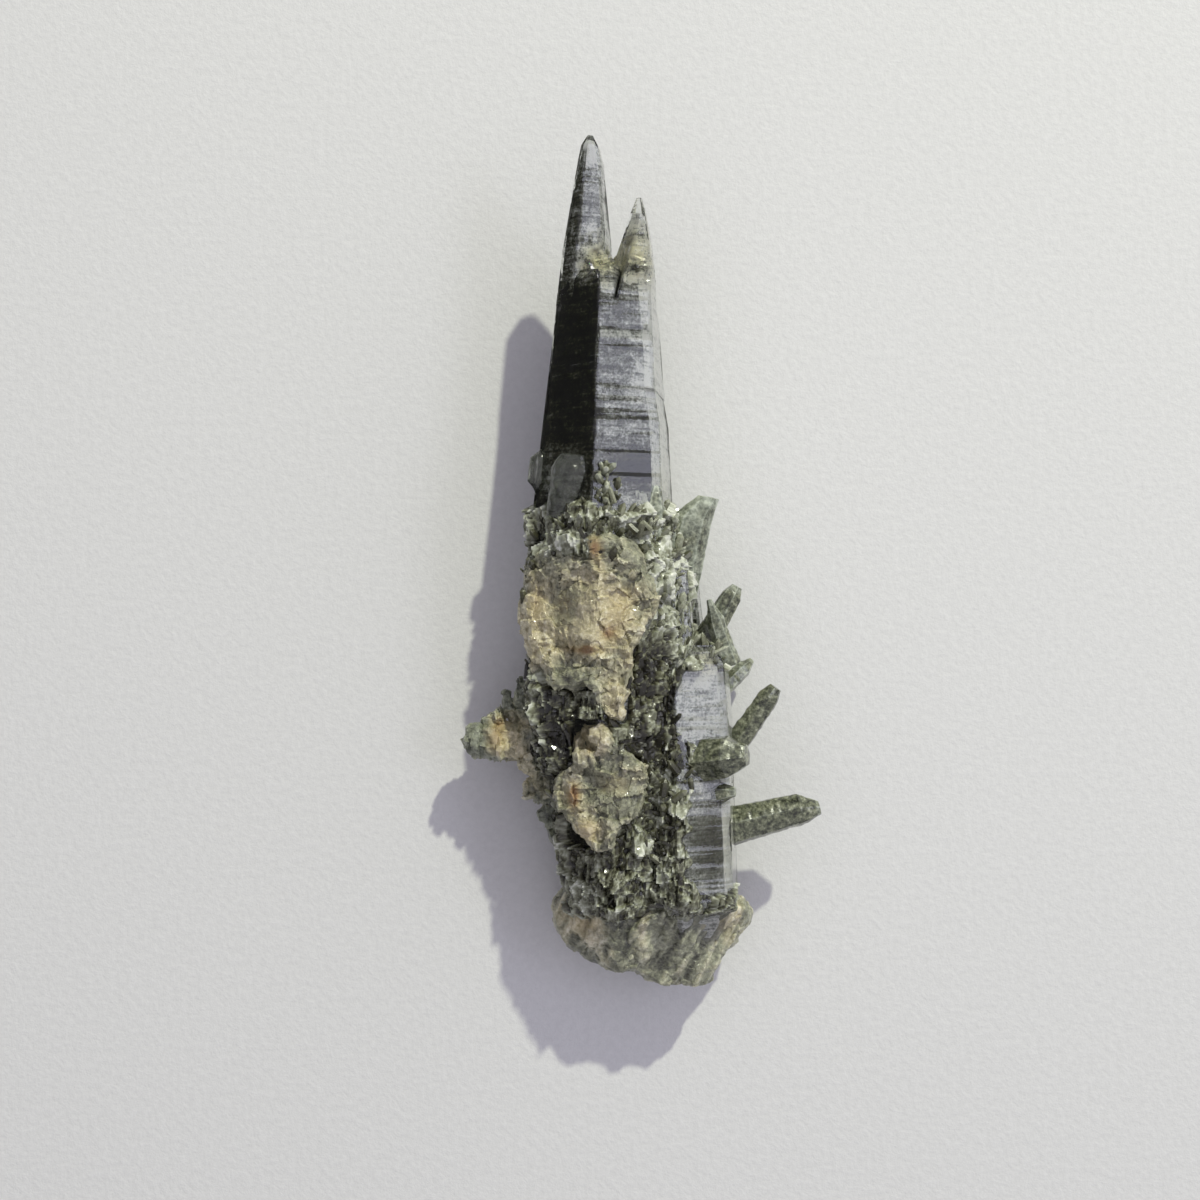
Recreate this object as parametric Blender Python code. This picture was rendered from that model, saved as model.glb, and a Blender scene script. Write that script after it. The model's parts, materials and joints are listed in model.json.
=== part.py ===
"""A quartz cluster with chlorite, lying down: tapering six-sided crystals grown together in parallel, smaller
crystals leaning out of them, a crust of druse, two broken contact scars and a broken root. All of it grew as one
piece, so it is one solid.

The cluster's length runs along Y, with the points towards +Y, and it rests on the plane z = 0. Tables are in
millimetres from a working point on the main crystal's line; ORIGIN is where the finished solid's own origin lies.
"""

import math
import random

import bmesh
import bpy
import numpy as np
from mathutils import Matrix, Vector
from mathutils.bvhtree import BVHTree

MM = 0.001
ORIGIN = (4.99, 3.38, 0.0)

# Every crystal that grew in parallel has the same six faces. The first looks this far above +X, and each next
# one is a sixth of a turn on: right side, upper right, upper left, left side, lower left, lower right.
FACE_TURN = math.radians(9.5)
SIXTH = math.radians(60)
FLAT_TO_CORNER = math.cos(math.radians(30))

# Parallel crystals. A station is (y, x of the centre, z of the centre, radius to the corners). The shares stretch
# the distance of each face from the centre line.
MAIN = [
    (39.6, -1.2, 11.6, 2.4),
    (36.8, 0.8, 11.4, 5.9),
    (30.6, 0.8, 11.1, 6.6),
    (24.4, 0.6, 10.7, 7.2),
    (20.6, 0.7, 10.5, 7.8),
    (10.6, 0.4, 10.0, 8.7),
    (0.0, 0.7, 9.6, 9.1),
    (-12.0, 1.2, 9.3, 9.1),
    (-18.5, 1.6, 9.1, 8.8),
    (-21.5, 2.8, 8.8, 7.9),
    (-33.0, 2.9, 7.9, 7.2),
    (-37.5, 2.9, 7.2, 6.4),
    (-41.5, 2.9, 6.2, 5.0),
]
MAIN_SHARES = (1.0, 1.0, 1.0, 1.0, 1.12, 1.18)
SPIRE = [
    (52.7, -1.1, 15.9, 0.35),
    (51.6, -1.1, 15.4, 1.05),
    (50.0, -1.1, 14.9, 1.4),
    (40.4, -1.5, 12.3, 2.75),
    (34.0, -1.6, 10.9, 3.5),
]
SPIRE_SHARES = (1.02, 0.98, 1.3, 1.02, 1.85, 1.85)
TWIN_TIP = [
    (46.0, 4.45, 14.7, 0.3),
    (44.4, 4.4, 14.3, 0.95),
    (41.0, 4.15, 13.6, 1.9),
    (38.2, 3.7, 13.1, 2.75),
    (35.0, 2.5, 12.2, 4.2),
    (30.4, 1.7, 11.4, 5.6),
    (24.0, 0.9, 10.6, 6.9),
]
TWIN_SHARES = (1.0, 1.0, 0.9, 1.0, 1.35, 1.35)
SECOND = [
    (-5.2, 11.2, 12.6, 2.6),
    (-7.4, 9.6, 10.6, 6.0),
    (-12.0, 9.5, 10.2, 6.55),
    (-24.0, 9.8, 10.1, 6.7),
    (-34.8, 10.1, 9.9, 6.8),
    (-38.5, 10.2, 8.0, 5.4),
    (-41.5, 10.2, 6.4, 4.0),
]
SECOND_SHARES = (1.0, 1.0, 1.0, 1.0, 1.05, 1.0)
THIRD = [
    (6.2, 8.3, 13.2, 0.8),
    (3.4, 8.3, 12.6, 2.3),
    (-9.0, 8.6, 12.2, 2.9),
]
THIRD_SHARES = (1.0, 1.05, 1.0, 1.0, 1.0, 1.0)
LOWER = [
    (7.5, 8.6, 5.9, 0.5),
    (3.0, 8.8, 5.4, 3.3),
    (-12.0, 9.6, 4.7, 4.3),
    (-30.0, 10.4, 4.3, 4.5),
    (-38.0, 10.4, 4.3, 3.6),
]
LOWER_SHARES = (1.0, 1.0, 1.0, 1.0, 1.08, 1.12)

# Leaning crystals: name, foot, middle of the tip, radius at the foot, radius at the shoulder, share of the length
# in the point, how blunt the tip is, how far the point stands to one side, roll in degrees, and how flat it is.
LEANING = [
    ("chisel", (10.4, -1.5, 9.4), (12.6, 12.0, 10.9), 2.3, 2.15, 0.22, 0.5, 0.35, 0, 0.6),
    ("thumb", (12.2, -5.4, 9.0), (16.2, 1.6, 9.4), 1.7, 1.25, 0.16, 0.55, 0.0, 40, 0.9),
    ("blade", (15.2, -7.6, 10.4), (12.7, 0.0, 12.0), 1.4, 1.0, 0.3, 0.3, 0.0, 0, 0.7),
    ("finger", (13.4, -21.0, 8.6), (20.7, -10.3, 10.0), 1.7, 1.35, 0.1, 0.6, 0.0, 20, 0.9),
    ("tusk", (13.0, -27.1, 8.6), (26.0, -24.6, 9.2), 2.5, 2.05, 0.18, 0.42, 0.3, 15, 0.9),
    ("knuckle", (9.6, -18.8, 13.4), (16.7, -17.9, 17.0), 2.6, 2.4, 0.26, 0.42, 0.0, 30, 0.95),
    ("bud", (10.6, -22.4, 12.6), (15.4, -21.9, 15.0), 1.5, 1.3, 0.3, 0.45, 0.0, 5, 0.9),
    ("prism_a", (7.4, 1.0, 13.2), (8.4, 9.6, 13.4), 0.9, 0.8, 0.12, 0.4, 0.0, 9.5, 1.0),
    ("prism_b", (5.9, 5.4, 14.9), (6.2, 10.2, 15.5), 1.0, 0.9, 0.14, 0.4, 0.0, 9.5, 1.0),
    ("stub_left", (-3.6, -17.9, 8.6), (-15.9, -16.4, 6.9), 2.5, 2.25, 0.1, 0.7, 0.0, 10, 0.95),
    ("stub_knob", (-11.6, -13.8, 7.2), (-14.0, -14.6, 6.8), 1.2, 1.0, 0.3, 0.5, 0.0, 25, 1.0),
    ("splinter_a", (-10.2, -15.6, 6.4), (-11.4, -10.9, 6.2), 0.95, 0.75, 0.2, 0.5, 0.0, 0, 0.9),
    ("splinter_b", (-8.6, -15.2, 6.8), (-9.7, -9.4, 6.9), 1.05, 0.85, 0.2, 0.5, 0.0, 20, 0.9),
    ("splinter_c", (-6.4, -14.6, 8.8), (-8.7, -10.0, 9.2), 1.2, 0.95, 0.2, 0.5, 0.0, 10, 0.8),
    ("flank_a", (-5.2, -18.6, 8.6), (-9.6, -19.4, 9.6), 2.1, 1.7, 0.3, 0.5, 0.0, 10, 0.9),
    ("flank_b", (-4.6, -22.6, 7.6), (-8.9, -22.6, 8.8), 2.1, 1.7, 0.3, 0.5, 0.0, 30, 0.9),
    ("flank_c", (-4.2, -25.0, 7.0), (-7.4, -25.8, 7.4), 1.6, 1.3, 0.3, 0.5, 0.0, 0, 0.9),
    ("clear_plate", (-4.6, 14.6, 12.4), (-8.2, 15.1, 13.1), 3.2, 2.6, 0.3, 0.55, 0.0, 5, 0.35),
    ("fan_plate", (-3.6, 9.5, 15.4), (-3.0, 16.4, 17.4), 2.5, 2.3, 0.2, 0.6, 0.0, 0, 0.45),
    ("under_tusk", (13.6, -12.0, 5.2), (18.6, -7.4, 3.4), 1.3, 1.0, 0.2, 0.4, 0.0, 10, 0.9),
    ("under_blade", (-4.6, -6.0, 6.0), (-8.6, 1.2, 4.2), 1.5, 1.15, 0.2, 0.4, 0.0, 20, 0.8),
    ("heel", (-2.8, -31.0, 5.6), (-6.2, -27.6, 4.6), 1.5, 1.15, 0.25, 0.4, 0.0, 0, 0.9),
]

# Crags: lumps of broken, milky quartz. The outline is seen from above, anticlockwise from the right. Then the
# height of the rim, how far its lip stands up, how far the middle is sunk, and the height of its root. A crag
# drapes over the crystal that it broke off with: the x of its ridge, then how much it rises for each millimetre
# along x on the ridge's left, along x on its right, and along y.
SCAR_UPPER = {
    "outline": [
        (6.4, -1.2), (5.9, 1.2), (5.0, 4.0), (2.8, 7.0), (-1.6, 8.0), (-5.4, 7.2), (-8.4, 4.8), (-9.0, 1.0),
        (-9.3, -1.4), (-8.7, -3.8), (-8.3, -7.2), (-5.8, -9.6), (-2.9, -10.2), (-0.5, -10.2), (0.6, -13.2),
        (2.2, -13.6), (3.1, -11.0), (3.6, -7.2), (5.0, -3.6),
    ],
    "rim": 17.7, "lip": 1.6, "dish": 0.6, "root": 12.6, "drape": (-0.8, 0.78, 0.0, 0.02), "seed": 3,
}
SCAR_LOWER = {
    "outline": [
        (5.7, -20.6), (4.8, -18.6), (2.6, -16.6), (0.6, -14.2), (-1.4, -13.8), (-2.9, -15.4), (-2.9, -18.6),
        (-4.8, -20.2), (-5.3, -22.6), (-4.4, -24.6), (-2.7, -26.2), (-0.8, -28.2), (0.6, -28.0), (1.8, -26.2),
        (4.2, -23.6),
    ],
    "rim": 17.0, "lip": 1.4, "dish": 0.2, "root": 11.6, "drape": (0.8, 0.78, 0.0, 0.02), "seed": 8,
}
ROOT_LEFT = {
    "outline": [
        (5.6, -36.6), (2.6, -34.4), (-1.6, -33.8), (-4.4, -34.2), (-5.9, -36.6), (-5.2, -39.4), (-3.6, -41.6),
        (-0.6, -43.2), (3.6, -43.9), (6.4, -42.0),
    ],
    "rim": 11.6, "lip": 1.3, "dish": 0.1, "root": 1.6, "drape": (2.1, 0.72, -0.1, 0.44), "seed": 12,
}
ROOT_RIGHT = {
    "outline": [
        (18.0, -38.4), (16.6, -35.8), (12.0, -35.4), (6.6, -35.6), (3.0, -38.0), (3.2, -43.0), (6.8, -45.0),
        (10.9, -45.9), (13.4, -45.7), (13.9, -43.0), (16.0, -40.8),
    ],
    "rim": 10.4, "lip": 1.5, "dish": 0.2, "root": 0.9, "drape": (11.0, 0.0, -0.72, 0.5), "seed": 15,
}
CRAGS = [SCAR_UPPER, SCAR_LOWER, ROOT_LEFT, ROOT_RIGHT]
CRAG_COLUMNS = 28
# How each ring of a crag is made: share of the outline, share of the way from root to rim, share of the lip,
# share of the dish.
CRAG_RINGS = [
    (0.45, 0.0, 0.0, 0.0),
    (0.86, 0.45, 0.0, 0.0),
    (0.98, 0.86, 0.0, 0.0),
    (1.0, 1.0, 0.25, 0.0),
    (0.92, 1.0, 1.0, 0.0),
    (0.78, 1.0, 1.0, 0.35),
    (0.6, 1.0, 1.0, 0.75),
    (0.4, 1.0, 1.0, 1.0),
    (0.2, 1.0, 1.0, 0.8),
]
CRAG_ROUGHNESS = 0.55
CRAG_GRAIN = 2.3
CRAG_ROOT_SHARE = 0.35

# Druse: a crust that lies on a parallel crystal. Each is the crystal's stations and shares, the crust's two ends
# along y, its mean thickness, and how far its thickness swings.
CRUSTS = [
    ("main", -38.0, 11.5, 0.15, 1.5, 21),
    ("second", -37.0, -13.0, -0.25, 1.3, 25),
]
CRUST_ROWS = 22
CRUST_COLUMNS = 3
CRUST_GRAIN = 3.4
CRUST_COARSE_SHARE = 0.65
CRUST_SINK = 1.2

# Small crystals on the druse: the middle of a patch, its half sizes, the way it is looked at, how many grow
# there, their length, and the way they lean.
PATCHES = [
    ((1.5, 9.0), (6.5, 2.0), (0, 0, -1), 14, (1.2, 2.0), (0.0, 0.5, 0.0)),
    ((7.0, 3.0), (2.4, 5.5), (0, 0, -1), 12, (1.4, 2.4), (0.2, 0.9, 0.0)),
    ((5.6, -22.5), (2.4, 6.0), (0, 0, -1), 9, (1.1, 1.9), (0.2, 0.3, 0.0)),
    ((2.0, -30.5), (6.0, 2.6), (0, 0, -1), 8, (1.1, 1.9), (-0.2, 0.4, 0.0)),
    ((-12.0, 7.0), (9.0, 3.0), (1, 0, 0), 8, (1.2, 2.0), (-0.2, 0.6, 0.0)),
    ((2.0, 8.0), (8.0, 3.0), (-1, 0, 0), 8, (1.4, 2.3), (0.3, 0.8, 0.0)),
    ((-28.0, 3.2), (7.0, 1.4), (-1, 0, 0), 5, (1.2, 1.9), (0.0, 0.5, 0.0)),
]
PATCH_SEED = 5
SMALL_SLENDER = 0.3
SMALL_TAPER = 0.85
SMALL_POINT = 0.35
SMALL_BLUNT = 0.2
SMALL_SUNK = 0.7
SMALL_WOBBLE = 0.45
RAY_START = 60.0

# The plane that the cluster rests on takes a flat off its lowest corners. What lies below it is cut off by a
# block of this size.
BLOCK_SIZE = (120.0, 160.0, 20.0)

# The noise mixes whole numbers with these, and takes the fields of x, y and z this far apart.
MIXERS = (374761393, 668265263, 1442695041, 1274126177)
FIRST_STIR = (13, 1103515245, 12345)
SECOND_STIR = (15, 747796405)
FIELD_STEP = 40.0

COLOUR = (0.20, 0.22, 0.17, 1)
ROUGHNESS = 0.25


def lattice(cell, seed):
    """A number from 0 to 1 for each whole-numbered cell, by mixing its three coordinates with the seed."""
    mask = np.int64(0xFFFFFFFF)
    x, y, z = (cell[..., i].astype(np.int64) for i in range(3))
    mixed = (x * MIXERS[0] + y * MIXERS[1] + z * MIXERS[2] + seed * MIXERS[3]) & mask
    shift, factor, offset = FIRST_STIR
    mixed = ((mixed ^ (mixed >> shift)) * factor + offset) & mask
    shift, factor = SECOND_STIR
    mixed = ((mixed ^ (mixed >> shift)) * factor) & mask
    return (mixed ^ (mixed >> 16)) / float(mask)


def noise(points, size, seed):
    """Smooth noise from -1 to 1: the lattice's numbers blended over each cell by its eased distances."""
    scaled = np.asarray(points, float) / size
    low = np.floor(scaled)
    part = scaled - low
    part = part * part * (3 - 2 * part)
    total = np.zeros(scaled.shape[:-1])
    for corner in np.ndindex(2, 2, 2):
        step = np.array(corner)
        weight = np.prod(np.where(step, part, 1 - part), axis=-1)
        total += weight * lattice(low + step, seed)
    return 2 * total - 1


def new_object(name, points, faces):
    """A closed mesh object from points in millimetres of the working frame."""
    mesh = bpy.data.meshes.new(name)
    placed = (np.asarray(points, float) - np.array(ORIGIN)) * MM
    mesh.from_pydata(placed.tolist(), [], faces)
    work = bmesh.new()
    work.from_mesh(mesh)
    bmesh.ops.recalc_face_normals(work, faces=work.faces)
    bmesh.ops.triangulate(work, faces=work.faces)
    work.to_mesh(mesh)
    work.free()
    return bpy.data.objects.new(name, mesh)


def ring_faces(rings, columns):
    """Quads between neighbouring rings of points, with a face over the first ring and one over the last."""
    faces = []
    for row in range(rings - 1):
        for column in range(columns):
            after = (column + 1) % columns
            low, high = row * columns, (row + 1) * columns
            faces.append((low + column, low + after, high + after, high + column))
    faces.append(tuple(reversed(range(columns))))
    faces.append(tuple(range((rings - 1) * columns, rings * columns)))
    return faces


def corners(distances, turn):
    """The six corners of a section whose faces lie at these distances: a corner is where two neighbours cross,
    at the distance along the first face's normal and (next - first cos 60) / sin 60 along the face."""
    angles = turn + SIXTH * np.arange(6)
    normals = np.stack([np.cos(angles), np.sin(angles)], axis=-1)
    along = np.stack([-np.sin(angles), np.cos(angles)], axis=-1)
    following = np.roll(distances, -1, axis=-1)
    slide = (following - distances * math.cos(SIXTH)) / math.sin(SIXTH)
    return distances[..., None] * normals + slide[..., None] * along


def parallel_crystal(name, stations, shares):
    """A column with one six-cornered section at each station, in the plane across Y."""
    table = np.array(stations)
    distances = table[:, 3:4] * FLAT_TO_CORNER * np.array(shares)
    section = corners(distances, FACE_TURN)
    points = np.empty((len(table), 6, 3))
    points[..., 0] = table[:, 1:2] + section[..., 0]
    points[..., 1] = table[:, 0:1]
    points[..., 2] = table[:, 2:3] + section[..., 1]
    return new_object(name, points.reshape(-1, 3), ring_faces(len(table), 6))


def leaning_crystal(name, foot, tip, wide, narrow, point, blunt, aside, roll, flat):
    """A six-sided column from foot to shoulder, then a point that narrows to a blunt end. The foot and shoulder
    lie aside from the line to the tip, so that the point stands to one side."""
    foot, tip = Vector(foot), Vector(tip)
    way = tip - foot
    turn = way.to_track_quat("Z", "Y").to_matrix()
    points = []
    for share, radius, shift in [(0.0, wide, aside), (1 - point, narrow, aside), (1.0, narrow * blunt, 0.0)]:
        for k in range(6):
            angle = math.radians(roll) + SIXTH * k
            across = radius * math.cos(angle) + shift * narrow
            local = Vector((across, radius * flat * math.sin(angle), share * way.length))
            points.append(foot + turn @ local)
    return new_object(name, points, ring_faces(3, 6))


def closed_curve(outline, columns):
    """Points spaced evenly round a smooth closed curve through the outline (Catmull-Rom)."""
    knots = np.array(outline, float)
    count = len(knots)
    at = np.arange(columns) / columns * count
    low = np.floor(at).astype(int)
    t = (at - low)[:, None]
    a, b, c, d = (knots[(low + k) % count] for k in (-1, 0, 1, 2))
    return 0.5 * (2 * b + (c - a) * t + (2 * a - 5 * b + 4 * c - d) * t**2 + (3 * b - a - 3 * c + d) * t**3)


def crag(name, outline, rim, lip, dish, root, drape, seed):
    """A lump with the outline at its rim, drawn in below and above it ring by ring, with the top sunk in the
    middle. It drapes over its ridge, and its surface is pushed about by noise."""
    edge = closed_curve(outline, CRAG_COLUMNS)
    middle = edge.mean(axis=0)
    points = []
    for size, up, lipped, dished in CRAG_RINGS:
        ring = np.empty((CRAG_COLUMNS, 3))
        ring[:, :2] = middle + (edge - middle) * size
        ridge, left, right, along = drape
        aside = ring[:, 0] - ridge
        fall = left * np.minimum(aside, 0) + right * np.maximum(aside, 0) + along * (ring[:, 1] - middle[1])
        grown = CRAG_ROOT_SHARE + (1 - CRAG_ROOT_SHARE) * up
        ring[:, 2] = root + (rim - root) * up + lip * lipped - dish * dished + fall * grown
        rough = np.stack([noise(ring + FIELD_STEP * k, CRAG_GRAIN, seed + k) for k in range(3)], axis=-1)
        points.append(ring + CRAG_ROUGHNESS * rough * grown)
    return new_object(name, np.concatenate(points), ring_faces(len(CRAG_RINGS), CRAG_COLUMNS))


def crust(name, stations, shares, low, high, thick, swing, seed):
    """A sleeve on a parallel crystal: its sections, pushed outwards by noise, and sunk under the faces at both
    ends and wherever the noise is low."""
    table = np.array(sorted(stations))
    rows = np.linspace(low, high, CRUST_ROWS)
    x, z, radius = (np.interp(rows, table[:, 0], table[:, k]) for k in (1, 2, 3))
    section = corners(radius[:, None] * FLAT_TO_CORNER * np.array(shares), FACE_TURN)
    share = (np.arange(CRUST_COLUMNS) / CRUST_COLUMNS)[:, None]
    sides = section[:, :, None, :] * (1 - share) + np.roll(section, -1, axis=1)[:, :, None, :] * share
    sides = sides.reshape(CRUST_ROWS, -1, 2)
    points = np.empty(sides.shape[:2] + (3,))
    points[..., 0] = x[:, None] + sides[..., 0]
    points[..., 1] = rows[:, None]
    points[..., 2] = z[:, None] + sides[..., 1]
    outward = sides / np.linalg.norm(sides, axis=-1, keepdims=True)
    coarse = noise(points, CRUST_GRAIN, seed)
    fine = noise(points, CRUST_GRAIN / 2, seed + 1)
    swell = thick + swing * (CRUST_COARSE_SHARE * coarse + (1 - CRUST_COARSE_SHARE) * fine)
    ends = np.minimum(rows - low, high - rows)[:, None]
    swell = np.where(ends < CRUST_SINK, -CRUST_SINK, np.maximum(swell, -CRUST_SINK))
    points[..., 0] += swell * outward[..., 0]
    points[..., 2] += swell * outward[..., 1]
    return new_object(name, points.reshape(-1, 3), ring_faces(CRUST_ROWS, sides.shape[1]))


def tree_of(objects):
    """A search tree over the faces of these objects, for rays."""
    points, faces = [], []
    for one in objects:
        first = len(points)
        points.extend(vertex.co.copy() for vertex in one.data.vertices)
        faces.extend(tuple(first + i for i in face.vertices) for face in one.data.polygons)
    return BVHTree.FromPolygons(points, faces)


def small_crystals(tree):
    """Short crystals on the druse patches. A ray along the patch's view finds where each one stands."""
    draw = random.Random(PATCH_SEED)
    made = []
    for middle, half, view, count, lengths, lean in PATCHES:
        toward = Vector(view)
        across = (Vector((1, 0, 0)), Vector((0, 1, 0))) if view[2] else (Vector((0, 1, 0)), Vector((0, 0, 1)))
        for _ in range(count):
            u = middle[0] + half[0] * draw.uniform(-1, 1)
            v = middle[1] + half[1] * draw.uniform(-1, 1)
            length = draw.uniform(*lengths)
            wobble = Vector([draw.uniform(-SMALL_WOBBLE, SMALL_WOBBLE) for _ in range(3)])
            start = (across[0] * u + across[1] * v - toward * RAY_START - Vector(ORIGIN)) * MM
            place, normal = tree.ray_cast(start, toward)[:2]
            if place is None:
                continue
            foot = place / MM + Vector(ORIGIN)
            way = (normal + Vector(lean) + wobble).normalized()
            radius = length * SMALL_SLENDER
            made.append(
                leaning_crystal(
                    f"small_{len(made):03d}", foot - way * SMALL_SUNK, foot + way * length, radius,
                    radius * SMALL_TAPER, SMALL_POINT, SMALL_BLUNT, 0.0, 60 * draw.random(), 1.0,
                )
            )
    return made


def quartz_material():
    """Grey-green quartz, glossy, as chlorite colours it."""
    made = bpy.data.materials.new("chlorite quartz")
    made.use_nodes = True
    shader = made.node_tree.nodes["Principled BSDF"]
    shader.inputs["Base Color"].default_value = COLOUR
    shader.inputs["Roughness"].default_value = ROUGHNESS
    shader.inputs["Metallic"].default_value = 0
    return made


def below_ground():
    """The block that holds everything below the plane that the cluster rests on."""
    mesh = bpy.data.meshes.new("below_ground")
    work = bmesh.new()
    size = Vector(BLOCK_SIZE) * MM
    placed = Matrix.Translation((0, 0, -size.z / 2)) @ Matrix.Diagonal(size).to_4x4()
    bmesh.ops.create_cube(work, size=1, matrix=placed)
    work.to_mesh(mesh)
    work.free()
    return bpy.data.objects.new("below_ground", mesh)


def hide_in(group, made):
    """Puts a helper in the group of those that are joined to the solid or cut from it, and hides it."""
    group.objects.link(made)
    made.hide_render = True
    made.display_type = "WIRE"


def main():
    for old in list(bpy.data.objects):
        bpy.data.objects.remove(old)
    columns = {
        "main": (MAIN, MAIN_SHARES),
        "spire": (SPIRE, SPIRE_SHARES),
        "twin_tip": (TWIN_TIP, TWIN_SHARES),
        "second": (SECOND, SECOND_SHARES),
        "third": (THIRD, THIRD_SHARES),
        "lower": (LOWER, LOWER_SHARES),
    }
    parts = [parallel_crystal(name, *table) for name, table in columns.items() if name != "main"]
    parts += [leaning_crystal(*row) for row in LEANING]
    parts += [crag(f"crag_{number}", **facts) for number, facts in enumerate(CRAGS)]
    parts += [
        crust(f"crust_{name}", *columns[name], low, high, thick, swing, seed)
        for name, low, high, thick, swing, seed in CRUSTS
    ]
    cluster = parallel_crystal("quartz_cluster", MAIN, MAIN_SHARES)
    parts += small_crystals(tree_of([cluster, *parts]))

    grown_on = bpy.data.collections.new("grown_on")
    bpy.context.scene.collection.children.link(grown_on)
    for one in parts:
        hide_in(grown_on, one)
    block = below_ground()
    hide_in(bpy.context.scene.collection, block)
    bpy.context.scene.collection.objects.link(cluster)
    cluster.data.materials.append(quartz_material())
    join = cluster.modifiers.new("grown together", "BOOLEAN")
    join.operation = "UNION"
    join.operand_type = "COLLECTION"
    join.collection = grown_on
    join.solver = "EXACT"
    flat = cluster.modifiers.new("resting flat", "BOOLEAN")
    flat.operation = "DIFFERENCE"
    flat.object = block
    flat.solver = "EXACT"


if __name__ == "__main__":
    main()
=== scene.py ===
"""The looks of a quartz cluster with chlorite: clear columns round dark phantoms, leaning crystals, druse,
two milky contact scars and a broken root, on a pale floor under a soft studio light.

Tables are in millimetres from a working point on the main crystal's line, with the cluster's length along Y
and its points towards +Y. ORIGIN is where the frame's own origin lies.
"""

import json
import math

import bpy
import numpy as np
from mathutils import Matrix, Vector

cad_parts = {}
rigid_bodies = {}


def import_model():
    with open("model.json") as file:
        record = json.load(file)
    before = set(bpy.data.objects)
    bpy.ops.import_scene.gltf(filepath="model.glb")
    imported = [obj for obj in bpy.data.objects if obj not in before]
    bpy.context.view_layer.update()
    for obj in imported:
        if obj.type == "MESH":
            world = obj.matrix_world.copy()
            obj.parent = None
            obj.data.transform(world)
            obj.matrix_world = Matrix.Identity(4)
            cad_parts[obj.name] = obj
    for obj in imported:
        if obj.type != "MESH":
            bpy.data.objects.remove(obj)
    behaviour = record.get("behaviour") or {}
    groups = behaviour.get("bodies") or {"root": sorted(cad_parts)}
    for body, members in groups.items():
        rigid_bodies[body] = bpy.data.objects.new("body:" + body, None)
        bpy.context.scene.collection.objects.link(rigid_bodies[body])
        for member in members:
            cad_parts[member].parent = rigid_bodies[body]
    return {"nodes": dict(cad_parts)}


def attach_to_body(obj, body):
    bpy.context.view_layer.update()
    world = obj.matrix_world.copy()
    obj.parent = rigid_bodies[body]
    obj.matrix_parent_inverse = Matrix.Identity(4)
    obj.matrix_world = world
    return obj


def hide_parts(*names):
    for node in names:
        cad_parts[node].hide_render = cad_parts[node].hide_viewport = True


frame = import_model()

bl_info = {
    "name": "Chlorite quartz cluster",
    "version": (1, 0, 0),
    "blender": (4, 5, 0),
    "location": "3D View > Sidebar > Quartz",
    "description": "Builds the finished look of a quartz cluster with chlorite phantoms",
    "category": "Object",
}

NODE = "quartz_cluster"
BODY = "root"
MM = 0.001
# A joined surface of the columns that has fewer faces than this has failed.
LEAST_FACES = 1000
ORIGIN = np.array((4.99, 3.38, 0.0))

# Crystals that grew in parallel share their six faces: right side, upper right, upper left, left side,
# lower left, lower right. The first looks this far above +X. Two of them look up at the camera.
FACE_TURN = math.radians(9.5)
SIXTH = math.radians(60)
FLAT_TO_CORNER = math.cos(math.radians(30))
UPPER_RIGHT, UPPER_LEFT = 1, 2

# Parallel crystals. A station is (y, x of the centre, z of the centre, radius to the corners), and the
# shares stretch the distance of each face from the centre line.
COLUMNS = {
    "main": (
        [
            (39.6, -1.2, 11.6, 2.4), (36.8, 0.8, 11.4, 5.9), (30.6, 0.8, 11.1, 6.6), (24.4, 0.6, 10.7, 7.2),
            (20.6, 0.7, 10.5, 7.8), (10.6, 0.4, 10.0, 8.7), (0.0, 0.7, 9.6, 9.1), (-12.0, 1.2, 9.3, 9.1),
            (-18.5, 1.6, 9.1, 8.8), (-21.5, 2.8, 8.8, 7.9), (-33.0, 2.9, 7.9, 7.2), (-37.5, 2.9, 7.2, 6.4),
            (-41.5, 2.9, 6.2, 5.0),
        ],
        (1.0, 1.0, 1.0, 1.0, 1.12, 1.18),
    ),
    "spire": (
        [
            (52.7, -1.1, 15.9, 0.35), (51.6, -1.1, 15.4, 1.05), (50.0, -1.1, 14.9, 1.4),
            (40.4, -1.5, 12.3, 2.75), (34.0, -1.6, 10.9, 3.5),
        ],
        (1.02, 0.98, 1.3, 1.02, 1.85, 1.85),
    ),
    "twin_tip": (
        [
            (46.0, 4.45, 14.7, 0.3), (44.4, 4.4, 14.3, 0.95), (41.0, 4.15, 13.6, 1.9),
            (38.2, 3.7, 13.1, 2.75), (35.0, 2.5, 12.2, 4.2), (30.4, 1.7, 11.4, 5.6),
            (24.0, 0.9, 10.6, 6.9),
        ],
        (1.0, 1.0, 0.9, 1.0, 1.35, 1.35),
    ),
    "second": (
        [
            (-5.2, 11.2, 12.6, 2.6), (-7.4, 9.6, 10.6, 6.0), (-12.0, 9.5, 10.2, 6.55),
            (-24.0, 9.8, 10.1, 6.7), (-34.8, 10.1, 9.9, 6.8), (-38.5, 10.2, 8.0, 5.4),
            (-41.5, 10.2, 6.4, 4.0),
        ],
        (1.0, 1.0, 1.0, 1.0, 1.05, 1.0),
    ),
    "third": (
        [(6.2, 8.3, 13.2, 0.8), (3.4, 8.3, 12.6, 2.3), (-9.0, 8.6, 12.2, 2.9)],
        (1.0, 1.05, 1.0, 1.0, 1.0, 1.0),
    ),
    "lower": (
        [
            (7.5, 8.6, 5.9, 0.5), (3.0, 8.8, 5.4, 3.3), (-12.0, 9.6, 4.7, 4.3), (-30.0, 10.4, 4.3, 4.5),
            (-38.0, 10.4, 4.3, 3.6),
        ],
        (1.0, 1.0, 1.0, 1.0, 1.08, 1.12),
    ),
}
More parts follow.
